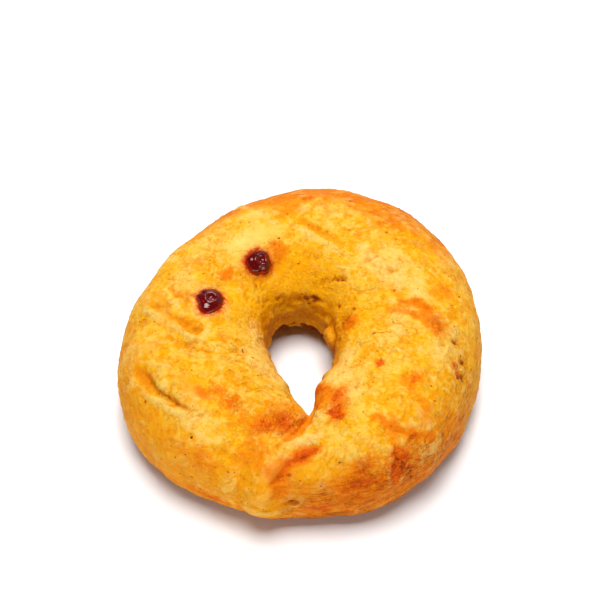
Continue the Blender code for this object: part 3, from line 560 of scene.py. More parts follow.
# =====================================================================================
# Node helpers
# =====================================================================================
class Graph:
    def __init__(self, name):
        self.material = bpy.data.materials.new(name)
        self.material.use_nodes = True
        self.tree = self.material.node_tree
        self.bsdf = self.tree.nodes["Principled BSDF"]
        self.place = None
        self.kept = {}

    def node(self, kind, **settings):
        n = self.tree.nodes.new(kind)
        for key, value in settings.items():
            setattr(n, key, value)
        return n

    def plug(self, socket, value):
        if isinstance(value, bpy.types.NodeSocket):
            self.tree.links.new(value, socket)
        elif isinstance(value, (tuple, list)) and len(value) == 3 and socket.type == "RGBA":
            socket.default_value = (*value, 1)
        else:
            socket.default_value = value

    def math(self, operation, a, b=0.0, c=None, clamp=False):
        n = self.node("ShaderNodeMath", operation=operation, use_clamp=clamp)
        self.plug(n.inputs[0], a)
        self.plug(n.inputs[1], b)
        if c is not None:
            self.plug(n.inputs[2], c)
        return n.outputs[0]

    def mix(self, factor, a, b, blend="MIX"):
        n = self.node("ShaderNodeMix", data_type="RGBA", blend_type=blend, clamp_factor=True)
        self.plug(n.inputs[0], factor)
        self.plug(n.inputs[6], a)
        self.plug(n.inputs[7], b)
        return n.outputs[2]

    def range(self, value, lo, hi, to_lo=0.0, to_hi=1.0, smooth=True):
        n = self.node("ShaderNodeMapRange", interpolation_type="SMOOTHSTEP" if smooth else "LINEAR", clamp=True)
        for i, v in enumerate((value, lo, hi, to_lo, to_hi)):
            self.plug(n.inputs[i], v)
        return n.outputs[0]

    def mm(self, stretch=(1, 1, 1), turn=(0, 0, 0), shift=(0, 0, 0)):
        """Object coordinates in millimetres."""
        if self.place is None:
            self.place = self.node("ShaderNodeTexCoord").outputs["Object"]
        n = self.node("ShaderNodeMapping")
        self.plug(n.inputs["Vector"], self.place)
        n.inputs["Scale"].default_value = [1000 * s for s in stretch]
        n.inputs["Rotation"].default_value = [math.radians(a) for a in turn]
        n.inputs["Location"].default_value = shift
        return n.outputs[0]

    def slant(self, heading, stretch, shift=(0, 0, 0)):
        """Millimetres turned so that X runs along a heading in degrees, then stretched."""
        m = self.node("ShaderNodeMapping")
        self.plug(m.inputs["Vector"], self.mm(turn=(0, 0, -heading)))
        m.inputs["Scale"].default_value = stretch
        m.inputs["Location"].default_value = shift
        return m.outputs[0]

    def unrolled(self, along, across, shift=(0, 0, 0)):
        """Millimetres along and round the roll, stretched."""
        n = self.node("ShaderNodeAttribute", attribute_name="bake_unrolled")
        m = self.node("ShaderNodeVectorMath", operation="MULTIPLY_ADD")
        self.plug(m.inputs[0], n.outputs["Vector"])
        m.inputs[1].default_value = (along, along, across)
        m.inputs[2].default_value = shift
        return m.outputs[0]

    def lines(self, value, width):
        """Thin lines where a noise crosses its middle."""
        return self.range(self.math("ABSOLUTE", self.math("SUBTRACT", value, 0.5)), width, 0.0)

    def noise(self, size, detail=3.0, rough=0.55, distort=0.0, vector=None, shift=(0, 0, 0)):
        n = self.node("ShaderNodeTexNoise")
        self.plug(n.inputs["Vector"], vector or self.mm(shift=shift))
        n.inputs["Scale"].default_value = 1.0 / size
        n.inputs["Detail"].default_value = detail
        n.inputs["Roughness"].default_value = rough
        n.inputs["Distortion"].default_value = distort
        return n.outputs["Fac"]

    def cells(self, size, feature="F1", random=1.0, vector=None, smooth=None, output="Distance"):
        n = self.node("ShaderNodeTexVoronoi", feature=feature)
        self.plug(n.inputs["Vector"], vector or self.mm())
        n.inputs["Scale"].default_value = 1.0 / size
        n.inputs["Randomness"].default_value = random
        if smooth is not None:
            n.inputs["Smoothness"].default_value = smooth
        return n.outputs[output]

    def warped(self, amount, size):
        """Object coordinates in millimetres, pushed about by noise so that cells are not round."""
        if (amount, size) not in self.kept:
            n = self.node("ShaderNodeTexNoise")
            self.plug(n.inputs["Vector"], self.mm())
            n.inputs["Scale"].default_value = 1.0 / size
            n.inputs["Detail"].default_value = 2.0
            m = self.node("ShaderNodeVectorMath", operation="MULTIPLY_ADD")
            self.plug(m.inputs[0], n.outputs["Color"])
            m.inputs[1].default_value = (amount,) * 3
            self.plug(m.inputs[2], self.mm())
            self.kept[(amount, size)] = m.outputs[0]
        return self.kept[(amount, size)]

    def attribute(self, name):
        n = self.node("ShaderNodeAttribute", attribute_name=name)
        s = self.node("ShaderNodeSeparateColor")
        self.plug(s.inputs[0], n.outputs["Color"])
        return s.outputs[0], s.outputs[1], s.outputs[2]

    def bump(self, height, strength=1.0, distance=0.001, normal=None):
        n = self.node("ShaderNodeBump")
        n.inputs["Strength"].default_value = strength
        n.inputs["Distance"].default_value = distance
        self.plug(n.inputs["Height"], height)
        if normal is not None:
            self.plug(n.inputs["Normal"], normal)
        return n.outputs[0]

    def set(self, name, value):
        self.plug(self.bsdf.inputs[name], value)


def srgb(r, g, b):
    """Linear colour of an 8-bit screen colour."""
    return tuple(((c / 255 + 0.055) / 1.055) ** 2.4 if c > 10 else c / 255 / 12.92 for c in (r, g, b))


# =====================================================================================
# Crust material
# =====================================================================================
def lit(r, g, b, light=1.34, shine=0.014):
    """Colour of a crust that looks like this 8-bit screen colour when it faces the lamp."""
    return tuple(max(0.002, c / light - shine) for c in srgb(r, g, b))


PALE = lit(255, 206, 84)
BUTTER = lit(255, 189, 38)
GOLD = lit(255, 168, 10)
ORANGE = lit(250, 130, 16)
RUST = lit(236, 84, 10)
BROWN = lit(136, 48, 4)
TAN = lit(250, 160, 52, 1.25)
OCHRE = lit(255, 182, 2, 1.04)
CREAM = lit(255, 220, 132)
LEMON = lit(250, 192, 24)
TRAY = lit(206, 116, 40)

g = Graph("baked_crust")
g_orange, g_red, g_brown = g.attribute("bake_spots")
g_pale, g_gold, g_rough = g.attribute("bake_tone")
g_flank, g_wall, g_under = g.attribute("bake_place")
g_halo, g_halo_far, g_low = g.attribute("bake_melt_and_low")
g_valley, g_ridge, g_wrinkle = g.attribute("bake_relief")
g_back, g_front_toast_and_shade, g_left = g.attribute("bake_zones")
g_scored, g_pricked, g_inner = g.attribute("bake_skin")
g_cream, g_honey, g_hatch = g.attribute("bake_extra")
g_torn, g_dashed, g_calm = g.attribute("bake_torn")
g_side, g_foot, g_hole = g.attribute("bake_wall")
busy = g.math("MULTIPLY_ADD", g_calm, -0.65, 1.0)

broad = g.noise(11.0, 2.0, 0.5)
cloud = g.noise(4.2, 4.0, 0.6, 0.4, shift=(7, 3, 1))
mottle = g.noise(1.5, 4.0, 0.65, 0.3, shift=(3, 9, 4))
fleck = g.noise(0.62, 3.0, 0.6, shift=(1, 2, 8))

# butter yellow to gold, with paler drifts
tone = g.math("ADD", g.range(broad, 0.36, 0.64, -0.22, 0.22), g.range(cloud, 0.34, 0.66, -0.30, 0.30))
tone = g.math("ADD", tone, g.range(mottle, 0.3, 0.7, -0.30, 0.30))
tone = g.math("ADD", tone, g.math("MULTIPLY", g_gold, 0.6))
tone = g.math("SUBTRACT", tone, g.math("MULTIPLY", g_pale, 0.75))
tone = g.math("ADD", tone, 0.42, clamp=True)
ramp = g.node("ShaderNodeValToRGB")
ramp.color_ramp.elements[0].color = (*PALE, 1)
ramp.color_ramp.elements[0].position = 0.05
ramp.color_ramp.elements[1].color = (*GOLD, 1)
ramp.color_ramp.elements[1].position = 0.92
ramp.color_ramp.elements.new(0.48).color = (*BUTTER, 1)
g.plug(ramp.inputs[0], tone)
colour = ramp.outputs[0]

# lemon drifts and cream streaks, longer than they are wide
flow = g.noise(1.0, 4.0, 0.6, 1.0, vector=g.slant(-24, (0.16, 0.50, 0.30), (3, 1, 2)))
colour = g.mix(g.math("MULTIPLY", g.range(g.noise(3.6, 3.0, 0.55, 0.6, shift=(11, 2, 7)), 0.54, 0.70), 0.55), colour, LEMON)
streaky = g.math("MULTIPLY", g.range(g_flank, 0.15, 0.75, 0.50, 0.10), g.math("MULTIPLY_ADD", g_inner, -0.9, 1.0))
colour = g.mix(g.math("MULTIPLY", g.range(flow, 0.54, 0.72), streaky), colour, CREAM)

# outer flank and hole wall
drift = g.range(g.noise(2.6, 3.0, 0.6, shift=(5, 5, 5)), 0.3, 0.7, 0.55, 1.25)
colour = g.mix(g.math("MULTIPLY", g.math("MULTIPLY", g_flank, g.math("MULTIPLY", busy, 0.64)), drift, clamp=True), colour, TAN)
colour = g.mix(g.math("MULTIPLY", g.math("MULTIPLY", g_wall, 0.85), drift, clamp=True), colour, OCHRE)
colour = g.mix(g.math("MULTIPLY", g.math("MULTIPLY", g_side, 0.55), drift, clamp=True), colour, lit(214, 128, 4, 1.05))
toast = g.range(g.noise(5.0, 4.0, 0.6, 0.5, shift=(4, 10, 5)), 0.36, 0.60, 0.45, 1.15)
colour = g.mix(g.math("MULTIPLY", g.math("MULTIPLY", g_back, 0.95), toast, clamp=True), colour, lit(239, 130, 13))
colour = g.mix(g.math("MULTIPLY", g.range(g_back, 0.80, 1.0), g.math("MULTIPLY", g_flank, 0.9), clamp=True), colour, lit(206, 112, 26))
colour = g.mix(g.math("MULTIPLY", g.math("MULTIPLY", g_left, 0.58), drift, clamp=True), colour, lit(252, 157, 10, 1.25))
# front flank browner: toasting and painted shade of the undercut
colour = g.mix(g.math("MULTIPLY", g.math("MULTIPLY", g_front_toast_and_shade, 0.80), drift, clamp=True), colour, lit(230, 112, 8, 1.25))

colour = g.mix(g.math("MULTIPLY", g.math("MULTIPLY", g_honey, 0.85), drift, clamp=True), colour, lit(252, 172, 22, 1.28))
colour = g.mix(g.math("MULTIPLY", g.math("MULTIPLY", g_cream, 0.80), drift, clamp=True), colour, lit(255, 222, 138, 1.20))

# valleys get a deeper, darker yellow: painted shade in the hollows; ridges get paler: partly a drier skin, partly a
# painted highlight
sunk = g.math("MULTIPLY", g.range(g_valley, 0.12, 1.0, smooth=False), g.range(mottle, 0.34, 0.62, 0.62, 1.15))
colour = g.mix(g.math("MULTIPLY", sunk, g.math("MULTIPLY_ADD", g_honey, -0.45, 0.72)), colour, lit(240, 144, 4))
raised = g.math("MULTIPLY", g.range(g_ridge, 0.10, 0.9, smooth=False), g.math("MULTIPLY_ADD", g_wall, -0.85, 1.0))
colour = g.mix(g.math("MULTIPLY", raised, g.math("MULTIPLY_ADD", g_gold, -0.5, 0.66)), colour, lit(255, 217, 124))
# wrinkles darkened to orange: painted shade in the creases
colour = g.mix(g.math("MULTIPLY", g_wrinkle, 0.25), colour, lit(232, 138, 10))

# low on the roll the colour darkens: partly browning against the tray, partly painted shade of the undercut at the
# front; the foot of the hole's wall is darker towards the bottom
colour = g.mix(g.math("MULTIPLY", g.math("MULTIPLY", g.range(g_low, 0.05, 0.75), g_flank), g.range(cloud, 0.3, 0.65, 0.40, 0.80)), colour, lit(200, 108, 24))
colour = g.mix(g.math("MULTIPLY", g.math("MULTIPLY", g.range(g_low, 0.10, 0.75), g_front_toast_and_shade), 0.55), colour, lit(176, 84, 10))
colour = g.mix(g.math("MULTIPLY", g.range(g_low, 0.60, 1.0), g.range(g.noise(2.2, 3.0, 0.6, shift=(8, 3, 3)), 0.25, 0.6, 0.45, 0.85)), colour, lit(186, 104, 34))
colour = g.mix(g.math("MULTIPLY", g.math("MULTIPLY", g.range(g_low, 0.24, 0.54), g_inner), g.range(mottle, 0.36, 0.58, 0.45, 0.95)), colour, lit(140, 72, 2))

# toasted patches: each attribute is broken up by noise that is fine enough to look baked
ragged = g.math("ADD", g.math("MULTIPLY", cloud, 0.40), g.math("MULTIPLY", mottle, 0.36))
ragged = g.math("MULTIPLY_ADD", fleck, 0.24, ragged)
def ragged_mask(value, low, high, push=1.0):
    v = g.math("ADD", g.math("MULTIPLY", value, push), g.math("MULTIPLY_ADD", ragged, 1.9, -0.95))
    return g.math("MULTIPLY", g.range(v, low, high), g.range(value, 0.02, 0.25))

colour = g.mix(g.math("MULTIPLY", ragged_mask(g_orange, 0.16, 0.84), 0.88), colour, ORANGE)
colour = g.mix(g.math("MULTIPLY", ragged_mask(g_red, 0.24, 0.76), 0.85), colour, RUST)
colour = g.mix(g.math("MULTIPLY", ragged_mask(g_brown, 0.18, 0.75), 0.92), colour, BROWN)

# melted cheese round the beads
run = g.range(g.noise(2.0, 3.0, 0.6, 0.5, shift=(7, 13, 2)), 0.36, 0.62, 0.25, 1.3)
colour = g.mix(g.math("MULTIPLY", g.math("MULTIPLY", g_halo_far, 0.70), run, clamp=True), colour, lit(250, 120, 14))
colour = g.mix(g.math("MULTIPLY", g.math("MULTIPLY", g_halo, 1.0), g.math("MULTIPLY_ADD", run, 0.6, 0.30), clamp=True), colour, lit(204, 56, 6))

# underside, browned by the tray
under_tone = g.mix(g.range(g.noise(6.0, 4.0, 0.6), 0.35, 0.65), TRAY, srgb(150, 78, 26))
under_tone = g.mix(g.range(g.noise(1.8, 4.0, 0.7, shift=(2, 2, 2)), 0.52, 0.72), under_tone, srgb(214, 150, 72))
colour = g.mix(g_under, colour, under_tone)

# fine grain: pale crumbs of starch with deeper yellow between them, small toasted freckles
grains = g.cells(0.95, "SMOOTH_F1", 1.0, smooth=0.35, vector=g.warped(0.5, 1.3))
grain_pick = g.node("ShaderNodeSeparateColor")
g.plug(grain_pick.inputs[0], g.cells(0.95, "F1", 1.0, output="Color", vector=g.warped(0.5, 1.3)))
patchy = g.math("MULTIPLY", g.range(g.noise(4.5, 2.0, 0.5, shift=(6, 1, 3)), 0.40, 0.66, 0.25, 1.0), busy)
bare = g.math("ADD", g.math("ADD", g.math("MULTIPLY", g_orange, 0.8), g_red), g.math("ADD", g.math("MULTIPLY", g_front_toast_and_shade, 0.6), g.math("MULTIPLY", g_back, 0.5)))
bare = g.math("MULTIPLY", g.range(bare, 0.0, 0.7, 1.0, 0.18), g.math("MULTIPLY_ADD", g_inner, -0.7, 1.0))
crumb = g.math("MULTIPLY", g.math("MULTIPLY", g.range(grains, 0.34, 0.10), g.range(grain_pick.outputs[0], 0.45, 0.95)), g.math("MULTIPLY", patchy, bare))
colour = g.mix(g.math("MULTIPLY", crumb, g.math("SUBTRACT", 0.42, g.math("MULTIPLY", g_under, 0.3))), colour, lit(255, 224, 128))
colour = g.mix(g.math("MULTIPLY", g.math("MULTIPLY", g.range(grains, 0.40, 0.64), 0.30), patchy), colour, lit(240, 138, 4))
colour = g.mix(g.math("MULTIPLY", g.range(fleck, 0.54, 0.70), g.math("MULTIPLY", bare, g.math("MULTIPLY_ADD", patchy, 0.22, 0.07))), colour, lit(255, 224, 120))
colour = g.mix(g.math("MULTIPLY", g.range(fleck, 0.46, 0.30), g.math("MULTIPLY_ADD", patchy, 0.22, 0.08)), colour, lit(234, 130, 2))
freckle_cells = g.cells(3.1, "F1", 1.0)
pick = g.node("ShaderNodeSeparateColor")
g.plug(pick.inputs[0], g.cells(3.1, "F1", 1.0, output="Color"))
freckle = g.math("MULTIPLY", g.range(freckle_cells, 0.14, 0.07), g.range(pick.outputs[0], 0.55, 0.60))
colour = g.mix(g.math("MULTIPLY", freckle, g.range(pick.outputs[1], 0.0, 1.0, 0.2, 0.75)), colour, lit(170, 88, 10))
# dark points, closer together where the skin is pricked
prick_cells = g.cells(1.55, "F1", 1.0, vector=g.warped(0.5, 1.3))
prick_pick = g.node("ShaderNodeSeparateColor")
g.plug(prick_pick.inputs[0], g.cells(1.55, "F1", 1.0, output="Color", vector=g.warped(0.5, 1.3)))
prick = g.math("MULTIPLY", g.range(prick_cells, 0.24, 0.10), g.range(prick_pick.outputs[0], 0.50, 0.70))
prick = g.math("MULTIPLY", prick, g.math("MULTIPLY_ADD", g_pricked, 0.62, 0.10))
colour = g.mix(prick, colour, lit(180, 92, 6))
# stretch marks: fine lines across the inner slope, and along the roll on the flank
marks = g.lines(g.noise(1.0, 3.0, 0.55, 0.3, vector=g.slant(-27, (0.13, 0.62, 0.30), (4, 2, 9))), 0.040)
marks = g.math("MAXIMUM", marks, g.math("MULTIPLY", g.lines(g.noise(1.0, 2.0, 0.5, 0.5, vector=g.slant(58, (0.22, 0.80, 0.30), (9, 5, 1))), 0.035), 0.55))
marks = g.math("MULTIPLY", marks, g.range(g.noise(3.0, 2.0, 0.5, shift=(2, 9, 6)), 0.38, 0.58))
skin = g.lines(g.noise(2.6, 3.0, 0.6, 0.5, shift=(12, 3, 8)), 0.030)
skin = g.math("MULTIPLY", skin, g.range(g.noise(4.4, 2.0, 0.5, shift=(5, 12, 2)), 0.46, 0.62))
ripple = g.lines(g.noise(1.0, 3.0, 0.6, 0.2, vector=g.unrolled(0.22, 0.80, (3, 3, 7))), 0.050)
ripple = g.math("MULTIPLY", ripple, g.range(g.noise(3.6, 2.0, 0.5, shift=(1, 4, 12)), 0.40, 0.60))
ripple = g.math("MULTIPLY", ripple, g.math("ADD", g.math("MULTIPLY", g_dashed, g.math("MULTIPLY_ADD", g_pricked, 0.9, 0.8)), g.math("MULTIPLY", g_front_toast_and_shade, 0.5), clamp=True))
scores = g.math("MAXIMUM", g.math("MULTIPLY", marks, g_scored), g.math("MULTIPLY", skin, 0.8))
scores = g.math("MULTIPLY", scores, g.math("MULTIPLY_ADD", g_inner, -0.8, 1.0))
colour = g.mix(g.math("MULTIPLY", scores, 0.46), colour, lit(222, 128, 4))
colour = g.mix(g.math("MULTIPLY", ripple, 0.55), colour, lit(184, 92, 14))
strand = g.noise(1.0, 4.0, 0.65, 1.0, vector=g.unrolled(0.32, 0.95, (8, 2, 5)))
strands = g.math("ADD", g.math("MULTIPLY", g_front_toast_and_shade, 0.75), g.math("MULTIPLY", g_dashed, 0.26), clamp=True)
strands = g.math("MULTIPLY", strands, g.math("MULTIPLY_ADD", g_calm, -1.1, 1.0, clamp=True))
colour = g.mix(g.math("MULTIPLY", g.range(strand, 0.50, 0.34), g.math("MULTIPLY", strands, 0.68)), colour, lit(178, 78, 6))
colour = g.mix(g.math("MULTIPLY", g.range(strand, 0.53, 0.68), g.math("MULTIPLY", strands, 0.70)), colour, lit(252, 170, 62))
# toasted patches are crazed with fine darker lines
craze = g.math("MULTIPLY", g.lines(g.noise(2.3, 1.0, 0.5, 0.7, shift=(15, 6, 3)), 0.034), g.range(g.noise(2.6, 2.0, 0.5, shift=(3, 15, 8)), 0.40, 0.60))
craze = g.math("MULTIPLY", craze, g.range(g.math("ADD", g_red, g.math("MULTIPLY", g_orange, 0.30)), 0.08, 0.60))
colour = g.mix(g.math("MULTIPLY", craze, 0.60), colour, lit(206, 66, 4))
hatched = g.lines(g.noise(1.0, 2.0, 0.5, 0.5, vector=g.slant(62, (0.30, 1.0, 0.4), (6, 8, 2))), 0.055)
colour = g.mix(g.math("MULTIPLY", g.math("MULTIPLY", hatched, g_hatch), 0.70), colour, lit(206, 64, 4))
# torn, toasted crumb at the front: short dark and pale strands
crackle = g.lines(g.noise(1.6, 3.0, 0.65, 0.8, shift=(9, 14, 2)), 0.060)
colour = g.mix(g.math("MULTIPLY", g.math("MULTIPLY", crackle, g_torn), 0.52), colour, lit(184, 68, 6))
chips = g.range(g.noise(0.95, 2.0, 0.5, 0.6, shift=(2, 14, 9)), 0.58, 0.70)
colour = g.mix(g.math("MULTIPLY", g.math("MULTIPLY", chips, g_torn), 0.60), colour, lit(252, 164, 40))
glow = g.math("MULTIPLY", g.range(g.noise(1.4, 3.0, 0.6, shift=(6, 15, 4)), 0.50, 0.66), g.range(g_red, 0.15, 0.6))
colour = g.mix(g.math("MULTIPLY", glow, 0.55), colour, lit(252, 132, 44))

g.set("Base Color", colour)

# relief in millimetres
fibres = g.noise(1.0, 3.0, 0.6, vector=g.unrolled(0.14, 1.15, (1, 1, 1)))
pores = g.range(g.cells(1.7, "F1", 1.0), 0.05, 0.26, -1.0, 0.0)
pores = g.math("MULTIPLY", pores, g.range(g.noise(5.0, 2.0, 0.5, shift=(9, 1, 5)), 0.5, 0.62))
relief = g.math("MULTIPLY", mottle, g.math("MULTIPLY_ADD", busy, 0.38, 0.12))
relief = g.math("MULTIPLY_ADD", g.math("MULTIPLY", fleck, busy), 0.14, relief)
relief = g.math("MULTIPLY_ADD", scores, -0.11, relief)
relief = g.math("MULTIPLY_ADD", ripple, -0.12, relief)
relief = g.math("MULTIPLY_ADD", prick, -0.10, relief)
relief = g.math("MULTIPLY_ADD", g.math("MULTIPLY", g.noise(1.1, 3.0, 0.65, shift=(7, 7, 1)), g_inner), 0.14, relief)
relief = g.math("MULTIPLY_ADD", g.math("MULTIPLY", grains, patchy), -0.11, relief)
strain = g.noise(1.0, 3.0, 0.6, 0.6, vector=g.slant(-27, (0.24, 1.0, 0.6), (1, 6, 2)))
strained = g.math("MULTIPLY", g.range(g.noise(8.0, 2.0, 0.5, shift=(2, 7, 7)), 0.42, 0.58), g.math("MULTIPLY_ADD", g_inner, -0.9, 1.0))
relief = g.math("MULTIPLY_ADD", g.math("MULTIPLY", strain, strained), 0.34, relief)
relief = g.math("MULTIPLY_ADD", pores, 0.12, relief)
relief = g.math("MULTIPLY_ADD", craze, -0.10, relief)
relief = g.math("MULTIPLY_ADD", g.math("MULTIPLY", hatched, g_hatch), -0.14, relief)
relief = g.math("MULTIPLY_ADD", g.math("MULTIPLY", crackle, g_torn), -0.13, relief)
relief = g.math("MULTIPLY_ADD", g.math("MULTIPLY", strand, strands), 0.30, relief)
relief = g.math("MULTIPLY_ADD", g.math("MULTIPLY", fibres, g.math("MULTIPLY", g.math("ADD", g_flank, g_rough, clamp=True), busy)), 0.30, relief)
relief = g.math("MULTIPLY_ADD", g.math("MULTIPLY", g.noise(0.9, 4.0, 0.7, shift=(4, 4, 9)), g_rough), 0.45, relief)
g.set("Normal", g.bump(relief, 1.0))

rough_value = g.math("MULTIPLY_ADD", mottle, 0.24, 0.40)
rough_value = g.math("SUBTRACT", rough_value, g.math("MULTIPLY", g_halo, 0.22))
rough_value = g.math("SUBTRACT", rough_value, g.math("MULTIPLY", g_red, 0.10))
g.set("Roughness", g.math("ADD", rough_value, g.math("MULTIPLY", g_under, 0.25), clamp=True))
g.set("Specular IOR Level", 0.025)
ring.data.materials.append(g.material)


# =====================================================================================
# Beads of caramelised cheese
# =====================================================================================
def bead_mesh(name, spec, segments=112, rings=64):
    """An uneven drop: a dome with a burst top above the crust, a plug below it."""
    c, x, y, n = bead_frame(*spec["at"])
    index = ((plain - c) ** 2).sum(1).argmin()
    c = c + n * (0.05 * MM)
    co, thin = [], []
    s = spec["seed"]
    angles = np.arange(segments) * 2 * np.pi / segments
    edge = around(spec["outline"], np.degrees(angles))
    for k in range(1, rings):
        lat = math.pi * k / rings                     # 0 at the top
        rho = math.sin(lat) ** 0.72
        zed = math.cos(lat)
        for a, r in zip(angles, edge):
            u, v = math.cos(a) * r * rho, math.sin(a) * r * rho
            if zed > 0:
                w = spec["up"] * zed ** 0.92
                d = math.hypot(u - 0.2, v - 0.35)
                w += 0.36 * math.exp(-((d - 1.75) / 0.50) ** 2) - 0.70 * math.exp(-(d / 1.15) ** 2)
                w += 0.42 * math.exp(-(((u - 0.35) / 0.55) ** 2 + ((v + 0.1) / 0.5) ** 2))
                w += 0.12 * noise.fractal(Vector((u / 2.2, v / 2.2, s)), 0.5, 2.0, 2) * min(1, zed * 2.5)
            else:
                w = spec["down"] * zed
            w -= 0.28 * (rho ** 2)                    # follows the curve of the roll
            co.append(c + (x * u + y * v + n * w) * MM)
            thin.append(1 - min(1.0, max(0.0, w / spec["up"])) if zed > 0 else 1.0)
    top, bottom = len(co), len(co) + 1
    co += [c + n * (spec["up"] - 0.35) * MM, c - n * (spec["down"]) * MM]
    thin += [0.0, 1.0]
    faces = [(top, i, (i + 1) % segments) for i in range(segments)]
    for k in range(rings - 2):
        for i in range(segments):
            a, b = k * segments + i, k * segments + (i + 1) % segments
            faces.append((a, a + segments, b + segments, b))
    last = (rings - 2) * segments
    faces += [(last + (i + 1) % segments, last + i, bottom) for i in range(segments)]
    mesh = bpy.data.meshes.new(name)
    mesh.from_pydata([tuple(p) for p in co], [], faces)
    mesh.update()
    mesh.shade_smooth()
    set_colour(mesh, "bead_thin", np.repeat(np.array(thin)[:, None], 3, 1))
    return mesh


g = Graph("caramelised_cheese")
thin, _, _ = g.attribute("bead_thin")
drift = g.noise(1.6, 3.0, 0.6)
edge = g.math("ADD", thin, g.math("MULTIPLY_ADD", drift, 0.6, -0.3))
c = g.mix(g.range(edge, 0.35, 0.98), srgb(84, 5, 4), srgb(154, 22, 4))
c = g.mix(g.range(edge, 0.80, 1.12), c, srgb(216, 74, 6))
c = g.mix(g.math("MULTIPLY", g.range(g.noise(0.8, 3.0, 0.6, shift=(3, 1, 7)), 0.52, 0.72), 0.6), c, srgb(150, 16, 8))
g.set("Base Color", c)
film = g.math("ADD", g.math("MULTIPLY", g.noise(1.3, 2.0, 0.5), 0.06), g.math("MULTIPLY", g.noise(0.4, 2.0, 0.5), 0.012))
g.set("Normal", g.bump(film, 1.0))
g.set("Roughness", g.range(g.noise(0.9, 2.0, 0.5, shift=(8, 8, 2)), 0.3, 0.7, 0.03, 0.10))
g.set("Specular IOR Level", 0.40)
g.set("Subsurface Weight", 0.06)
g.set("Subsurface Radius", (1.0, 0.22, 0.08))
g.set("Subsurface Scale", 0.0012)
bead_material = g.material
for name, spec in BEADS.items():
    bead = add_object(name.replace("cheese_bead", "melted_bead"), bead_mesh(name, spec))
    bead.data.materials.append(bead_material)
    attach(bead, "root")
    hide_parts(name)


# =====================================================================================
# Small burnt specks of cheese, on and in the crust: place, length, width, heading from +X, tint
# =====================================================================================
SPECKS = [
    (210, 124, 1.7, 0.6, 110, 0.2), (219, 130, 1.0, 0.6, 30, 0.6), (209, 39, 1.2, 0.8, 60, 0.5), (205, 22, 0.7, 0.5, 0, 0.4),
    (230, 46, 0.9, 0.8, 0, 0.0), (231, 30, 0.9, 0.5, 0, 0.4), (228, 22, 0.9, 0.5, 40, 0.5), (245, 30, 0.8, 0.5, 0, 0.6),
    (247, 32, 0.6, 0.4, 0, 0.6), (234, 8, 1.1, 0.5, 0, 0.4), (230, 6, 0.8, 0.5, 0, 0.5), (179, 45, 0.8, 0.5, 60, 0.4),
    (179, 51, 0.7, 0.4, 0, 0.5), (182, 62, 0.7, 0.5, 0, 0.6), (154, 85, 0.6, 0.5, 0, 0.3), (141, 112, 0.9, 0.4, 120, 0.5),
    (98, 79, 0.6, 0.5, 0, 0.2), (120, 74, 0.6, 0.4, 0, 0.4), (105, 101, 1.1, 0.6, 20, 0.7), (95, 127, 1.2, 0.4, 0, 0.5),
    (88, 158, 1.6, 0.8, 10, 0.5), (85, 165, 1.2, 0.7, 0, 0.5), (79, 160, 1.5, 0.8, 0, 0.6), (54, 127, 1.8, 1.0, 5, 0.25),
    (42, 147, 1.2, 1.1, 0, 0.05), (18, 97, 1.2, 0.7, 150, 0.8), (51, 77, 1.0, 0.7, 160, 0.8), (345, 116, 2.0, 0.7, 175, 0.45),
    (72, 63, 1.2, 0.6, 0, 0.8), (91, 55, 0.8, 0.4, 0, 0.7), (31, 45, 0.9, 0.5, 130, 0.7), (12, 48, 0.8, 0.8, 0, 0.2),
    (7, 57, 0.7, 0.5, 0, 0.7), (351, 52, 0.8, 1.9, 20, 0.25), (345.2, 40, 0.9, 2.0, 10, 0.10), (339.7, 34.5, 1.5, 0.8, 110, 0.0), (340.2, 37.2, 0.6, 0.5, 0, 0.7), (338.8, 41, 1.6, 1.0, 150, 0.30), (342.0, 46, 0.5, 1.3, 20, 0.35),
    (346.5, 43.5, 0.5, 0.8, 0, 0.6), (349.3, 50, 0.7, 0.4, 0, 0.7), (341, 49, 0.6, 1.0, 20, 0.5), (328, 59, 0.9, 0.6, 0, 0.7), (324, 50, 0.9, 0.4, 0, 0.5), (320, 21, 0.6, 1.3, 0, 0.2),
    (322, 27, 0.5, 1.0, 0, 0.5), (308.5, 43, 1.2, 0.5, 170, 0.45), (303, 29, 0.8, 0.6, 30, 0.4), (304, 19, 0.6, 1.0, 0, 0.4),
    (302, 27, 0.7, 0.5, 0, 0.4), (282, 50, 0.8, 0.6, 0, 0.15), (275, 30, 0.6, 0.5, 0, 0.5), (277, 120, 0.6, 1.2, 20, 0.7),
    (283, 95, 0.8, 0.6, 0, 0.7), (266, 7, 1.7, 0.6, 175, 0.35), (274.5, 1, 1.2, 0.5, 0, 0.6), (263, 358, 0.9, 0.4, 0, 0.3),
    (283, 359, 0.9, 0.5, 0, 0.5), (287, 355, 0.9, 0.5, 0, 0.6), (283, 344, 1.0, 0.5, 0, 0.4), (286, 26, 1.1, 0.6, 0, 0.7),
    (290, 24, 0.6, 0.5, 0, 0.6), (289, 14, 0.8, 0.5, 0, 0.6), (257.5, 6, 1.1, 0.6, 0, 0.9), (263, 40, 0.8, 0.5, 0, 0.8),
    (73, 136, 0.6, 0.4, 0, 0.5), (25, 60, 0.5, 0.4, 0, 0.7), (145, 83, 0.5, 0.4, 0, 0.6), (93, 155, 0.9, 0.5, 0, 0.6),
    (330, 108, 0.6, 0.4, 0, 0.8), (335, 112, 0.5, 0.4, 0, 0.8),
]


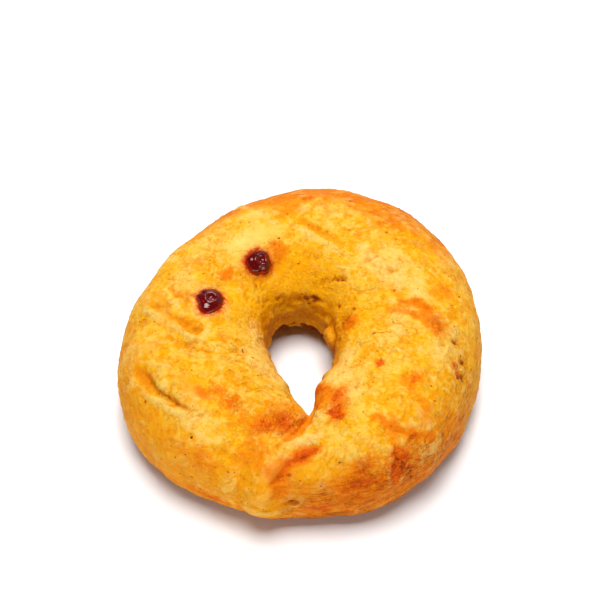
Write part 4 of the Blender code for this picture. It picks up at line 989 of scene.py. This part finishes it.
def speck_mesh():
    """Flattened, uneven crumbs joined in one mesh, half sunk in the crust."""
    rng = np.random.default_rng(29)
    items = list(SPECKS)
    for _ in range(90):      # the same scatter goes on where nothing names a place
        size = rng.uniform(0.20, 0.42)
        items.append((rng.uniform(0, 360), rng.uniform(-38, 172), size * rng.uniform(1, 1.6), size, rng.uniform(0, 180), rng.uniform(0.3, 1.0)))
    co, faces, tint = [], [], []
    lat, lon = 5, 9
    grid = points.reshape(NU, NV, 3)
    for b, t, length, width, heading, hue in items:
        length, width = length * (0.95 if hue < 0.75 else 0.8), width * 1.0
        i = int(np.abs((ub % 360 - b + 180) % 360 - 180).argmin())
        j = int(np.abs((tb[i] - t + 180) % 360 - 180).argmin())
        c = grid[i, j]
        n = np.cross(grid[(i + 1) % NU, j] - grid[i - 1, j], grid[i, (j + 1) % NV] - grid[i, j - 1])
        n /= np.linalg.norm(n)
        x = np.array([1.0, 0, 0]) - n * n[0]
        x /= np.linalg.norm(x)
        y = np.cross(n, x)
        h = math.radians(heading)
        x, y = x * math.cos(h) + y * math.sin(h), y * math.cos(h) - x * math.sin(h)
        base = len(co)
        rise = 0.16 * min(length, width) + 0.03
        waist = 1 + rng.uniform(-0.28, 0.28, lon)
        for k in range(1, lat):
            a = math.pi * k / lat
            for m in range(lon):
                f = 2 * math.pi * m / lon
                r = math.sin(a) * waist[m]
                co.append(c + (x * math.cos(f) * r * length / 2 + y * math.sin(f) * r * width / 2 + n * (math.cos(a) * rise)) * MM)
        co += [c + n * rise * MM, c - n * rise * MM]
        top, bottom = base + (lat - 1) * lon, base + (lat - 1) * lon + 1
        for m in range(lon):
            q = (m + 1) % lon
            faces.append((top, base + m, base + q))
            for k in range(lat - 2):
                a = base + k * lon
                faces.append((a + m, a + lon + m, a + lon + q, a + q))
            last = base + (lat - 2) * lon
            faces.append((last + q, last + m, bottom))
        tint += [hue] * ((lat - 1) * lon + 2)
    mesh = bpy.data.meshes.new("burnt_specks")
    mesh.from_pydata([tuple(p) for p in co], [], faces)
    mesh.update()
    mesh.shade_smooth()
    set_colour(mesh, "speck_tint", np.repeat(np.array(tint)[:, None], 3, 1))
    return mesh


g = Graph("burnt_cheese_specks")
hue, _, _ = g.attribute("speck_tint")
c = g.mix(hue, srgb(84, 34, 5), srgb(196, 92, 12))
c = g.mix(g.math("MULTIPLY", g.range(g.noise(0.35, 3.0, 0.6), 0.45, 0.7), 0.5), c, srgb(196, 104, 26))
g.set("Base Color", c)
g.set("Normal", g.bump(g.noise(0.3, 3.0, 0.6), 0.8, 0.00012))
g.set("Roughness", g.range(g.noise(0.6, 2.0, 0.5), 0.3, 0.7, 0.45, 0.7))
g.set("Specular IOR Level", 0.15)
specks = add_object("burnt_specks", speck_mesh())
specks.data.materials.append(g.material)
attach(specks, "root")


# =====================================================================================
# Floor, light and camera
# =====================================================================================
bpy.ops.mesh.primitive_plane_add(size=3.0, location=(0, 0, -0.0001))
floor = bpy.context.object
floor.name = "floor"
g = Graph("pale_floor")
g.set("Base Color", (0.92, 0.93, 0.945))
g.set("Roughness", 0.75)
g.set("Specular IOR Level", 0.12)
floor.data.materials.append(g.material)

world = bpy.data.worlds.new("studio")
world.use_nodes = True
sky = world.node_tree.nodes["Background"]
sky.inputs["Color"].default_value = (0.985, 0.99, 1.0, 1)
way = world.node_tree.nodes.new("ShaderNodeTexCoord")
axis = world.node_tree.nodes.new("ShaderNodeSeparateXYZ")
fade = world.node_tree.nodes.new("ShaderNodeMapRange")      # paler near the floor than overhead
world.node_tree.links.new(way.outputs["Generated"], axis.inputs[0])
world.node_tree.links.new(axis.outputs["Z"], fade.inputs["Value"])
for i, v in enumerate((0.0, 0.55, 0.59, 0.06)):
    fade.inputs[i + 1].default_value = v
world.node_tree.links.new(fade.outputs[0], sky.inputs["Strength"])
bpy.context.scene.world = world


def softbox(name, place, look, size, watts, colour=(1, 1, 1)):
    light = bpy.data.lights.new(name, "AREA")
    light.shape = "RECTANGLE"
    light.size, light.size_y = size
    light.energy = watts
    light.color = colour
    o = bpy.data.objects.new(name, light)
    o.location = place
    o.rotation_euler = (Vector(look) - Vector(place)).to_track_quat("-Z", "Y").to_euler()
    bpy.context.scene.collection.objects.link(o)
    return o


softbox("key", (-0.015, 0.09, 0.91), (0, 0, 0), (0.50, 0.50), 10.4, (1.0, 0.995, 0.985))
softbox("back", (0.05, 0.70, 0.56), (0, 0, 0.02), (0.26, 0.26), 3.0, (1.0, 0.99, 0.97))
softbox("front", (0.0, -0.76, 0.11), (0, 0, 0.02), (2.0, 0.20), 4.9, (1.0, 0.99, 0.97))

camera_data = bpy.data.cameras.new("camera")
camera_data.lens = 90.0
camera_data.sensor_width = 36.0
camera_data.clip_start = 0.01
camera = bpy.data.objects.new("camera", camera_data)
target = Vector((-0.00036, 0.01555, 0.017))
look = Vector((0, math.cos(math.radians(55)), -math.sin(math.radians(55))))
camera.location = target - look * 0.475
camera.rotation_euler = (math.radians(35), 0, 0)
bpy.context.scene.collection.objects.link(camera)
bpy.context.scene.camera = camera
bpy.context.scene.view_settings.view_transform = "Standard"
